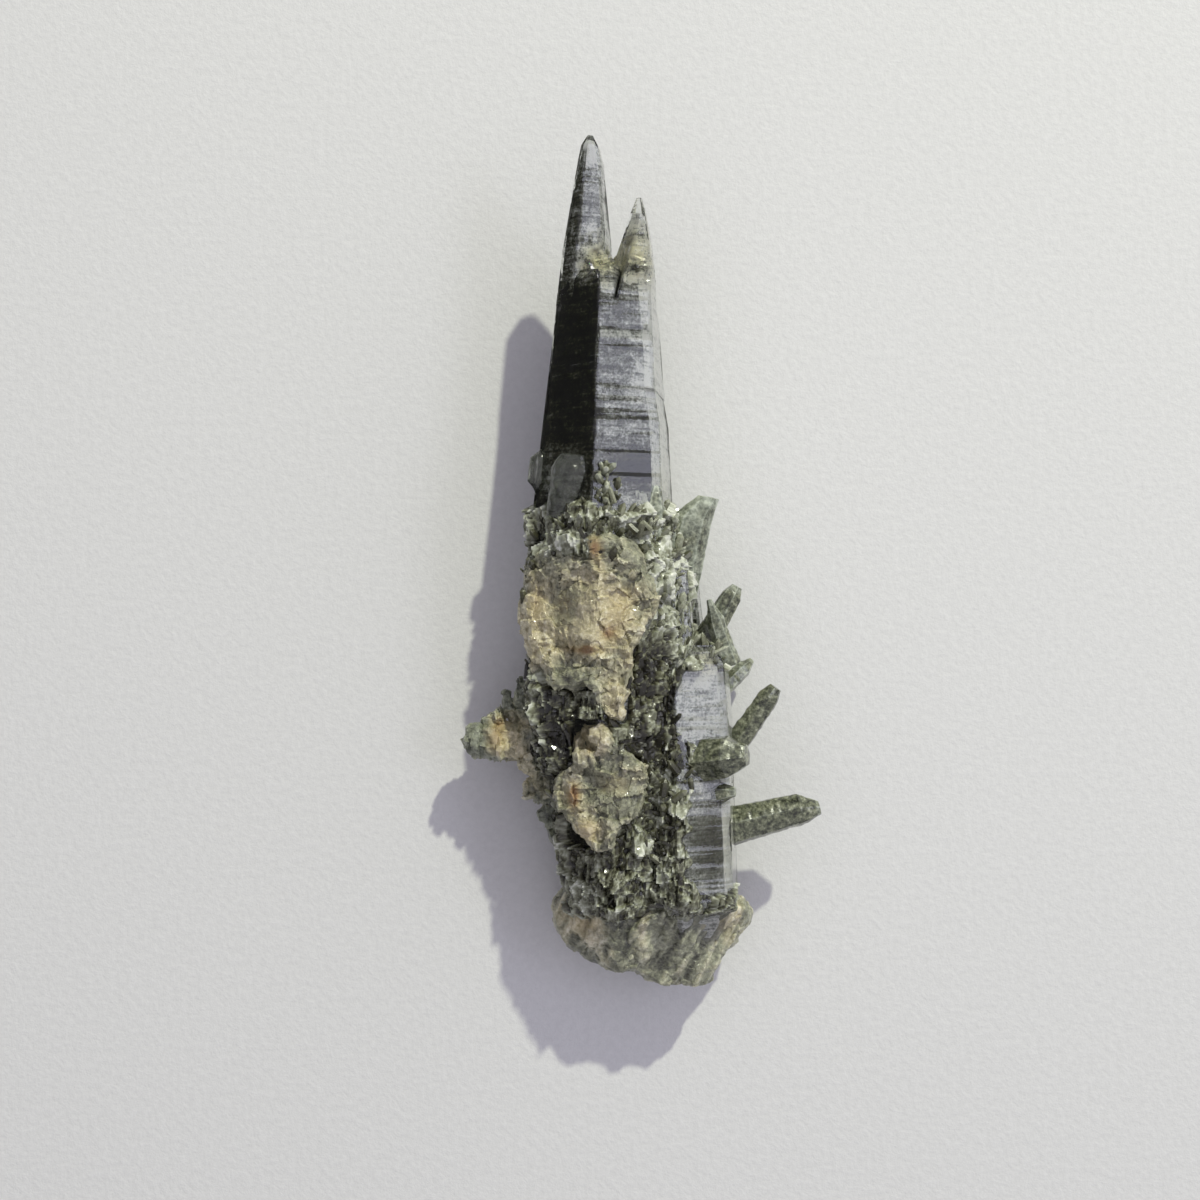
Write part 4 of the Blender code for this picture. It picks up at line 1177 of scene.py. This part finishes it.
def crust_grid(stations, shares, low, high, thick, swing, seed, rows, per_face):
    """(points, rise) of a sleeve on a parallel crystal: its sections, pushed outwards by coarse noise
    and by facets, and sunk under the faces at both ends and wherever the noise is low."""
    y = np.linspace(low, high, rows)
    x, z, radius = centre_line(stations, y)
    section = corners(radius[:, None] * FLAT_TO_CORNER * np.array(shares), FACE_TURN)
    share = (np.arange(per_face) / per_face)[:, None]
    sides = section[:, :, None] * (1 - share) + np.roll(section, -1, axis=1)[:, :, None] * share
    sides = sides.reshape(rows, -1, 2)
    points = np.empty(sides.shape[:2] + (3,))
    points[..., 0] = x[:, None] + sides[..., 0]
    points[..., 1] = y[:, None]
    points[..., 2] = z[:, None] + sides[..., 1]
    outward = sides / np.linalg.norm(sides, axis=-1, keepdims=True)
    coarse = noise(points, CRUST_GRAIN, seed)
    fine = noise(points, CRUST_GRAIN / 2, seed + 1)
    swell = thick + swing * (CRUST_COARSE_SHARE * coarse + (1 - CRUST_COARSE_SHARE) * fine)
    wander, grain = CRUST_TOP
    top = high - wander * (1 + noise(points * (1, 0, 1), grain, seed + 7))
    ends = np.minimum((y - low)[:, None], top - y[:, None])
    jagged, grain = BARE_EDGE
    aside, ahead = (jagged * noise(points, grain, seed + k) for k in (11, 12))
    bare = inside(points[..., 0] + aside, points[..., 1] + ahead, DRUSE_BARE)
    above = points[..., 2] - z[:, None]
    bare = bare * ease(above, *BARE_HEIGHTS)
    swell = np.maximum(np.minimum(swell, ends * CRUST_END_SLOPE - CRUST_SINK), -CRUST_SINK)
    grains, rise = layered_facets(points * (1, CRUST_STRETCH, 1), CRUST_FACETS, seed + CRUST_FACET_SEED)
    scarred = inside(points[..., 0], points[..., 1], SCAR_BARE) * ease(above, *SCAR_HEIGHTS)
    swell = swell + grains - BARE_SINK * bare - SCAR_SINK * scarred
    points[..., 0] += swell * outward[..., 0]
    points[..., 2] += swell * outward[..., 1]
    return points, rise


def spread_on_cluster(draw, tries):
    """(places, normals) of points spread evenly over the cluster's own triangles, in millimetres of the
    working frame: each takes a triangle by its share of the area, then a place in it by two random
    weights."""
    mesh = frame["nodes"][NODE].data
    mesh.calc_loop_triangles()
    corner = np.empty(len(mesh.vertices) * 3, np.float32)
    mesh.vertices.foreach_get("co", corner)
    index = np.empty(len(mesh.loop_triangles) * 3, np.int32)
    mesh.loop_triangles.foreach_get("vertices", index)
    triangles = corner.reshape(-1, 3).astype(float)[index.reshape(-1, 3)] / MM + ORIGIN
    normal = np.cross(triangles[:, 1] - triangles[:, 0], triangles[:, 2] - triangles[:, 0])
    area = np.linalg.norm(normal, axis=-1)
    chosen = draw.choice(len(area), tries, p=area / area.sum())
    weight = draw.random((tries, 2))
    weight = np.where(weight.sum(axis=1, keepdims=True) > 1, 1 - weight, weight)
    first, second, third = (triangles[chosen, k] for k in range(3))
    places = first + weight[:, :1] * (second - first) + weight[:, 1:] * (third - first)
    return places, normal[chosen] / np.maximum(area[chosen, None], 1e-12)


def outside(places, name):
    """How far places stand outside a column's six faces: the most that any face is passed by."""
    stations, shares = COLUMNS[name]
    y = places[:, 1]
    x, z, radius = centre_line(stations, y)
    angle = FACE_TURN + SIXTH * np.arange(6)
    across = (places[:, :1] - x[:, None]) * np.cos(angle) + (places[:, 2:] - z[:, None]) * np.sin(angle)
    past = (across - radius[:, None] * FLAT_TO_CORNER * np.array(shares)).max(axis=1)
    beyond = np.maximum(min(stations)[0] - y, y - max(stations)[0])
    return np.maximum(past, beyond)


def hexagon_crystals(feet, ways, lengths, radii, turns):
    """(points, faces, along) of many small crystals at once. Each is a six-sided ring at its foot, one
    at its shoulder, and a tip. along is 0 at the foot and 1 at the tip."""
    count = len(feet)
    helper = np.where(np.abs(ways[:, 2:]) < 0.9, (0.0, 0.0, 1.0), (1.0, 0.0, 0.0))
    first = np.cross(ways, helper)
    first /= np.linalg.norm(first, axis=-1, keepdims=True)
    second = np.cross(ways, first)
    angle = turns[:, None] + SIXTH * np.arange(6)
    around = np.cos(angle)[..., None] * first[:, None] + np.sin(angle)[..., None] * second[:, None]
    ring = radii[:, None, None] * around
    foot = feet[:, None] - DRUSE_SUNK * ways[:, None] + ring
    shoulder = feet[:, None] + (DRUSE_SHOULDER * lengths[:, None] * ways)[:, None] + DRUSE_TAPER * ring
    tip = (feet + lengths[:, None] * ways)[:, None]
    points = np.concatenate([foot, shoulder, tip], axis=1)
    k = np.arange(6)
    after = (k + 1) % 6
    sides = np.stack([k, after, after + 6, k + 6], axis=-1)
    point = np.stack([k + 6, after + 6, np.full(6, DRUSE_POINTS - 1)], axis=-1)
    start = np.arange(count)[:, None, None] * DRUSE_POINTS
    quads = (sides + start).reshape(-1, 4)
    tops = (point + start).reshape(-1, 3)
    bases = np.arange(6)[::-1] + start[..., 0]
    along = np.tile(np.concatenate([np.zeros(6), np.full(6, DRUSE_SHOULDER_TONE), [1.0]]), count)
    return points.reshape(-1, 3), quads.tolist() + tops.tolist() + bases.tolist(), along


def colour_setting(name, description, default):
    """A colour in a property group."""
    return bpy.props.FloatVectorProperty(
        name=name, description=description, default=default, size=3, min=0, max=1, subtype="COLOR"
    )


def broken_piece(name, points, rise, material, milk, stains):
    """Makes and attaches a piece of broken quartz: rise is how far its facets stand up, and the two
    tables say where it is milky and where it is stained."""
    x, y = points[..., 0], points[..., 1]
    attach(make_piece(
        name, *sleeve(points), material, BROKEN_SHARP, rise=per_point(rise),
        milk=per_point(hills(x, y, milk)), stain=per_point(hills(x, y, stains)),
    ))


class CrystalSettings(bpy.types.PropertyGroup):
    """Sizes and clearness of the clear columns"""

    row_step: bpy.props.FloatProperty(
        name="Row step", description="Distance between a column's rings, in millimetres",
        default=0.15, min=0.05,
    )
    striation: bpy.props.FloatProperty(
        name="Striation", description="How strongly lines cross the faces",
        default=1.0, min=0, subtype="FACTOR",
    )
    polish: bpy.props.FloatProperty(
        name="Roughness", description="Roughness of the clear faces",
        default=0.06, min=0, max=1, subtype="FACTOR",
    )
    depth_colour: colour_setting(
        "Depth colour", "Colour of light that has gone through the quartz", (0.8, 0.86, 0.76)
    )
    depth_density: bpy.props.FloatProperty(
        name="Depth density", description="How fast the quartz takes light out, for each metre",
        default=25.0, min=0,
    )


class ChloriteSettings(bpy.types.PropertyGroup):
    """Colours of the phantoms and of the druse"""

    moss_dark: colour_setting("Moss dark", "Deepest colour of the phantoms", (0.002, 0.002, 0.0008))
    moss: colour_setting("Moss", "Usual colour of the phantoms", (0.01, 0.01, 0.0035))
    moss_pale: colour_setting("Moss pale", "Colour of the phantoms' specks", (0.055, 0.055, 0.026))
    # The veil colours also carry painted sheen on the faces turned to the right and a painted glint at the
    # spire's tip.
    veil_dark: colour_setting("Veil dark", "Darker colour of the veils", (0.16, 0.165, 0.14))
    veil: colour_setting("Veil", "Colour of the silver veils", (0.44, 0.45, 0.44))
    veil_pale: colour_setting("Veil pale", "Palest colour of the veils", (0.86, 0.86, 0.84))
    olive: colour_setting("Olive", "Tint of the olive places", (1.0, 0.95, 0.66))
    hollow: colour_setting("Hollow", "Colour in the druse's hollows", (0.018, 0.016, 0.009))
    druse_dark: colour_setting("Druse dark", "Darker colour of the druse", (0.075, 0.074, 0.042))
    druse: colour_setting("Druse", "Usual colour of the druse", (0.21, 0.215, 0.145))
    druse_rim: colour_setting("Druse rim", "Palest colour of the druse", (0.68, 0.69, 0.61))
    druse_pale: colour_setting("Druse pale", "Paler colour of the druse", (0.43, 0.45, 0.35))


class ScarSettings(bpy.types.PropertyGroup):
    """Colours of the broken quartz"""

    # The milk's shade, middle and rim colours are laid along the grain and along how far the facets stand
    # up: painted shade low and painted light high.
    milk: colour_setting("Milk", "Colour of the milky quartz", (0.62, 0.55, 0.355))
    milk_rim: colour_setting("Milk rim", "Palest colour of the milky quartz", (0.92, 0.87, 0.7))
    milk_shade: colour_setting("Milk shade", "Duller colour of the milky quartz", (0.3, 0.27, 0.16))
    gold: colour_setting("Gold", "Faint iron stain", (0.6, 0.47, 0.2))
    ochre: colour_setting("Ochre", "Iron stain", (0.52, 0.37, 0.16))
    rust: colour_setting("Rust", "Strong iron stain", (0.36, 0.18, 0.07))


class DruseSettings(bpy.types.PropertyGroup):
    """Lengths of the small crystals"""

    shortest: bpy.props.FloatProperty(
        name="Shortest", description="Length of the shortest small crystals, in millimetres",
        default=0.45, min=0.1,
    )
    longest: bpy.props.FloatProperty(
        name="Longest", description="Length of the longest small crystals, in millimetres",
        default=1.7, min=0.1,
    )
    seed: bpy.props.IntProperty(name="Seed", description="Start of the random draws", default=11, min=0)


class StageSettings(bpy.types.PropertyGroup):
    """Floor and lights"""

    floor_colour: colour_setting("Floor", "Colour of the floor", (0.78, 0.775, 0.775))
    key_power: bpy.props.FloatProperty(
        name="Key", description="Power of the key light", default=6.97, min=0, subtype="POWER"
    )
    key_size: bpy.props.FloatProperty(
        name="Key size", description="How wide the key light is", default=0.03, min=0, subtype="DISTANCE",
        unit="LENGTH",
    )
    key_colour: colour_setting("Key colour", "Colour of the key light", (0.97, 1.0, 0.8))
    fill_colour: colour_setting("Fill colour", "Colour of the light from above", (0.91, 0.89, 1.0))
    fill_strength: bpy.props.FloatProperty(
        name="Fill", description="Strength of the light from above", default=0.57, min=0
    )
    horizon_strength: bpy.props.FloatProperty(
        name="Horizon", description="Strength of the light near the horizon", default=0.012, min=0
    )
    softbox_power: bpy.props.FloatProperty(
        name="Softbox", description="Power of the softbox on the right",
        default=0.35, min=0, subtype="POWER",
    )
    softbox_colour: colour_setting("Softbox colour", "Colour of the softbox", (0.8, 0.82, 1.0))


class QUARTZ_OT_clear_columns(bpy.types.Operator):
    """Builds the clear quartz: the parallel columns joined in one surface"""

    bl_idname = "quartz.clear_columns"
    bl_label = "Clear columns"

    def execute(self, context):
        crystal = context.scene.quartz_crystal
        material = clear_quartz(crystal)
        joined = None
        for seed, (name, (stations, shares)) in enumerate(COLUMNS.items()):
            low, high = min(stations)[0], max(stations)[0]
            points, face = column_grid(
                stations, shares, low, high, crystal.row_step, np.zeros(6), crystal.striation,
                COLUMN_SEED_STEP * seed + COLUMN_SEED,
            )
            if name == "main":
                points = add_ledges(points, face)
            points = break_foot(points)
            piece = make_piece(f"column_{name}", *sleeve(points), material)
            if joined is None:
                joined = piece
                continue
            merge = joined.modifiers.new(name, "BOOLEAN")
            merge.operation = "UNION"
            merge.object = piece
            merge.solver = "MANIFOLD"
        wedge = make_piece("column_wedge", *crack_wedge(), material)
        opened = joined.modifiers.new("crack", "BOOLEAN")
        opened.operation = "DIFFERENCE"
        opened.object = wedge
        opened.solver = "MANIFOLD"
        joined.name = joined.data.name = "clear_quartz"
        graph = context.evaluated_depsgraph_get()
        whole = bpy.data.meshes.new_from_object(joined.evaluated_get(graph))
        joined.modifiers.clear()
        joined.data = whole
        for column in [o for o in context.scene.objects if o.name.startswith("column_")]:
            bpy.data.objects.remove(column)
        if len(whole.polygons) < LEAST_FACES:
            raise RuntimeError("the columns didn't join")
        attach(joined)
        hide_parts(NODE)
        return {"FINISHED"}


class QUARTZ_OT_phantoms(bpy.types.Operator):
    """Builds the chlorite phantoms that lie under the clear faces"""

    bl_idname = "quartz.phantoms"
    bl_label = "Phantoms"

    def execute(self, context):
        material = phantom_chlorite(context.scene.quartz_chlorite)
        step = context.scene.quartz_crystal.row_step * 2
        for seed, (name, (depth, low, high)) in enumerate(PHANTOMS.items()):
            stations, shares = COLUMNS[name]
            points, face = column_grid(
                stations, shares, low, high, step, depth, PHANTOM_STRIATION,
                COLUMN_SEED_STEP * seed + PHANTOM_SEED, PHANTOM_POINTS,
            )
            if name == "main":
                points = add_ledges(points, face)
            points = break_foot(points)
            bump = PHANTOM_BUMP * fractal(points, PHANTOM_GRAIN, seed)
            points = points + bump[..., None] * grid_normals(points)
            x, y, z = np.moveaxis(points, -1, 0)
            crack = along_crack(x, y) * (z > CRACK_WEDGE[0][0])
            points[..., 2] -= CRACK_DEPTH * crack
            # From here the crack's mask is its painted shade, which fades out towards the tips.
            crack = crack * (1 - ease(y, *CRACK_SHADE_END))
            on_left = hills(x, y, LEFT_VEILS_AND_GLINT) + LOW_VEIL * ease(y, *LOW_VEIL_BELOW)
            # How pale by face and by place: partly real veils, partly painted sheen on the faces turned to
            # the right, painted light in the right side's margin and a painted glint at the spire's tip.
            veil = np.array(VEIL_AND_SHEEN_OF_FACE[name])[face]
            veil = veil + (face == UPPER_RIGHT) * hills(x, y, VEILS_AND_SHEEN) + (face == UPPER_LEFT) * on_left
            attach(make_piece(
                f"phantom_{name}", *sleeve(points), material, PHANTOM_SHARP, veil=per_point(veil),
                crack=per_point(crack),
                olive=per_point(np.clip(hills(x, y, OLIVES), 0, 1)),
                even=per_point(np.clip(hills(x, y, EVEN), 0, 1)),
            ))
        return {"FINISHED"}


class QUARTZ_OT_side_crystals(bpy.types.Operator):
    """Builds the crystals that lean out of the cluster"""

    bl_idname = "quartz.side_crystals"
    bl_label = "Side crystals"

    def execute(self, context):
        grown = side_quartz()
        lumpy = broken_quartz(context.scene.quartz_scar, "lumpy quartz", LUMPY_COLOUR)
        for place, (name, *shape) in enumerate(LEANING):
            rough = BROKEN_ROUGHNESS if name in BROKEN_CRYSTALS else GROWN_ROUGHNESS
            seed = LEANING_SEED_STEP * place
            points, pale = leaning_grid(*shape, seed + LEANING_SEED, rough, ROUNDED.get(name, GROWN_ROUND))
            if name in BROKEN_CRYSTALS:
                points, rise = roughen(points, seed + ROUGH_SEED)
                broken_piece(name, points, rise, lumpy, SIDE_MILK, SIDE_STAINS)
                continue
            pale = pale + PALER.get(name, 0.0)
            attach(make_piece(name, *sleeve(points), grown, GROWN_SHARP, pale=per_point(pale)))
        return {"FINISHED"}


class QUARTZ_OT_plates(bpy.types.Operator):
    """Builds the thin clear plates on the upper left face"""

    bl_idname = "quartz.plates"
    bl_label = "Plates"

    def execute(self, context):
        material = plate_quartz()
        for place, (name, *shape) in enumerate(PLATES):
            seed = LEANING_SEED_STEP * place + PLATE_SEED
            points, _ = leaning_grid(*shape, seed, PLATE_ROUGHNESS, PLATE_ROUND)
            attach(make_piece(name, *sleeve(points), material, GROWN_SHARP))
        return {"FINISHED"}


class QUARTZ_OT_scars(bpy.types.Operator):
    """Builds the two milky scars where other crystals broke off"""

    bl_idname = "quartz.scars"
    bl_label = "Contact scars"

    def execute(self, context):
        material = broken_quartz(context.scene.quartz_scar, "scar quartz", SCAR_COLOUR)
        for name, facts in (("scar_upper", SCAR_UPPER), ("scar_lower", SCAR_LOWER)):
            points, rise = crag_grid(name, **facts)
            broken_piece(name, points, rise, material, SCAR_MILK[name], SCAR_STAINS[name])
        return {"FINISHED"}


class QUARTZ_OT_root(bpy.types.Operator):
    """Builds the broken root, with its slanting fibres"""

    bl_idname = "quartz.root"
    bl_label = "Root"

    def execute(self, context):
        material = broken_quartz(context.scene.quartz_scar, "root quartz", ROOT_COLOUR)
        for name, facts in (("root_left", ROOT_LEFT), ("root_right", ROOT_RIGHT)):
            points, rise = crag_grid(name, **facts)
            points, ridges = add_fibres(points, facts["seed"] + FIBRE_SEED)
            # Painted light on the fibres' ridges and painted shade between them.
            rise = rise + FIBRE_TONE * (ridges - FIBRE_MIDDLE)
            broken_piece(name, points, rise, material, SCAR_MILK[name], SCAR_STAINS[name])
        return {"FINISHED"}


class QUARTZ_OT_crust(bpy.types.Operator):
    """Builds the crust of druse on three of the parallel crystals"""

    bl_idname = "quartz.crust"
    bl_label = "Crust"

    def execute(self, context):
        material = druse_quartz(context.scene.quartz_chlorite, "druse quartz")
        for name, *facts in CRUSTS:
            points, rise = crust_grid(*COLUMNS[name], *facts)
            rise = rise + hills(points[..., 0], points[..., 1], DRUSE_TONES)
            rise = per_point(rise)
            attach(make_piece(f"crust_{name}", *sleeve(points), material, CRUST_SHARP, rise=rise))
        return {"FINISHED"}


class QUARTZ_OT_druse(bpy.types.Operator):
    """Grows the small crystals of the druse"""

    bl_idname = "quartz.druse"
    bl_label = "Druse crystals"

    def execute(self, context):
        druse = context.scene.quartz_druse
        draw = np.random.default_rng(druse.seed)
        places, normals = spread_on_cluster(draw, DRUSE_TRIES)
        x, y, z = places.T
        out = np.minimum(outside(places, "main"), outside(places, "second"))
        grows = (out > DRUSE_REACH[0]) & (out < DRUSE_REACH[1]) & (y < DRUSE_END) & (z > DRUSE_LOWEST)
        grows &= (inside(x, y, DRUSE_BARE) < GROWS_BARE) | (z < BARE_LOWEST)
        grows &= (inside(x, y, SCAR_BARE) < GROWS_SCAR) | (z < SCAR_LOWEST)
        chosen = np.zeros(0, int)
        for (middle_x, middle_y), (wide, long), count in DRUSE_PATCHES:
            near = ((x - middle_x) / wide) ** 2 + ((y - middle_y) / long) ** 2 < 1
            chosen = np.union1d(chosen, np.flatnonzero(near & grows)[:count])
        material = druse_quartz(context.scene.quartz_chlorite, "small druse quartz")
        upper = y[chosen] > DRUSE_NORTH
        for name, part in (("druse_upper", chosen[upper]), ("druse_lower", chosen[~upper])):
            feet = places[part]
            count = len(part)
            ways = normals[part] + np.array(DRUSE_LEAN) + DRUSE_WOBBLE * draw.uniform(-1, 1, (count, 3))
            ways /= np.linalg.norm(ways, axis=-1, keepdims=True)
            lengths = druse.shortest + (druse.longest - druse.shortest) * draw.random(count) ** 2
            radii = lengths * draw.uniform(*DRUSE_SLENDER, count)
            turns = draw.uniform(0, SIXTH, count)
            points, faces, along = hexagon_crystals(feet, ways, lengths, radii, turns)
            tone = draw.uniform(*DRUSE_TONE, count) + hills(x[part], y[part], DRUSE_TONES)
            rise = along * DRUSE_TIP_TONE + np.repeat(tone, DRUSE_POINTS)
            attach(make_piece(name, points, faces, material, rise=rise))
        return {"FINISHED"}


class QUARTZ_OT_stage(bpy.types.Operator):
    """Sets the camera straight above, the floor, the key light, the softbox and the light all round"""

    bl_idname = "quartz.stage"
    bl_label = "Stage"

    def execute(self, context):
        scene = context.scene
        stage = scene.quartz_stage
        half, low = FLOOR_SIZE / 2, -FLOOR_GAP * MM
        mesh = bpy.data.meshes.new("floor")
        ends = [(-half, -half, low), (half, -half, low), (half, half, low), (-half, half, low)]
        mesh.from_pydata(ends, [], [(0, 1, 2, 3)])
        mesh.materials.append(paper_floor(stage))
        floor = bpy.data.objects.new("floor", mesh)
        scene.collection.objects.link(floor)

        lens = bpy.data.cameras.new("camera")
        lens.sensor_width = SENSOR
        lens.lens = SENSOR * VIEW_HEIGHT / VIEW_WIDTH
        lens.clip_start = 0.01
        camera = bpy.data.objects.new("camera", lens)
        camera.location = (Vector((0, 0, VIEW_HEIGHT)) - Vector(ORIGIN)) * MM
        scene.collection.objects.link(camera)
        scene.camera = camera

        key = bpy.data.lights.new("key", "AREA")
        key.shape, key.size = "DISK", stage.key_size
        key.energy, key.color = stage.key_power, stage.key_colour
        lamp = bpy.data.objects.new("key", key)
        lamp.location = TO_KEY.normalized() * KEY_AWAY
        lamp.rotation_euler = TO_KEY.to_track_quat("Z", "Y").to_euler()
        scene.collection.objects.link(lamp)

        soft = bpy.data.lights.new("softbox", "AREA")
        soft.shape, soft.size, soft.size_y, soft.energy = "RECTANGLE", *SOFTBOX_SIZE, stage.softbox_power
        soft.color = stage.softbox_colour
        box = bpy.data.objects.new("softbox", soft)
        to_box = Vector((math.sin(SOFTBOX_TILT), SOFTBOX_NORTH, math.cos(SOFTBOX_TILT)))
        box.location = to_box * SOFTBOX_AWAY
        box.rotation_euler = box.location.to_track_quat("Z", "Y").to_euler()
        scene.collection.objects.link(box)

        world = bpy.data.worlds.new("light all round")
        world.use_nodes = True
        tree = world.node_tree
        background = tree.nodes["Background"]
        background.inputs["Color"].default_value = (*stage.fill_colour, 1)
        way = node(tree, "SeparateXYZ", Vector=node(tree, "TexCoord").outputs["Generated"])
        lean = maths(tree, "MULTIPLY", way.outputs["X"], HORIZON_LEAN)
        level = maths(tree, "ADD", way.outputs["Z"], lean)
        strength = spread(tree, level, *HORIZON, stage.horizon_strength, stage.fill_strength)
        tree.links.new(strength, background.inputs["Strength"])
        scene.world = world
        scene.view_settings.view_transform = "Standard"
        return {"FINISHED"}


class QUARTZ_PT_cluster(bpy.types.Panel):
    """Lists the operators in their order, and the settings"""

    bl_label = "Quartz cluster"
    bl_idname = "QUARTZ_PT_cluster"
    bl_space_type = "VIEW_3D"
    bl_region_type = "UI"
    bl_category = "Quartz"

    def draw(self, context):
        for operator in OPERATORS:
            self.layout.operator(operator.bl_idname)
        for name in SETTINGS:
            settings = getattr(context.scene, name)
            box = self.layout.box()
            for key in settings.__annotations__:
                box.prop(settings, key)


SETTINGS = {
    "quartz_crystal": CrystalSettings,
    "quartz_chlorite": ChloriteSettings,
    "quartz_scar": ScarSettings,
    "quartz_druse": DruseSettings,
    "quartz_stage": StageSettings,
}
OPERATORS = (
    QUARTZ_OT_clear_columns, QUARTZ_OT_phantoms, QUARTZ_OT_side_crystals, QUARTZ_OT_plates, QUARTZ_OT_scars,
    QUARTZ_OT_root, QUARTZ_OT_crust, QUARTZ_OT_druse, QUARTZ_OT_stage,
)


def register():
    for group in (*SETTINGS.values(), *OPERATORS, QUARTZ_PT_cluster):
        bpy.utils.register_class(group)
    for name, group in SETTINGS.items():
        setattr(bpy.types.Scene, name, bpy.props.PointerProperty(type=group))


def unregister():
    for name in SETTINGS:
        delattr(bpy.types.Scene, name)
    for group in reversed((*SETTINGS.values(), *OPERATORS, QUARTZ_PT_cluster)):
        bpy.utils.unregister_class(group)


def main():
    register()
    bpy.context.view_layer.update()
    bpy.ops.quartz.clear_columns()
    bpy.ops.quartz.phantoms()
    bpy.ops.quartz.side_crystals()
    bpy.ops.quartz.plates()
    bpy.ops.quartz.scars()
    bpy.ops.quartz.root()
    bpy.ops.quartz.crust()
    bpy.ops.quartz.druse()
    bpy.ops.quartz.stage()


if __name__ == "__main__":
    main()
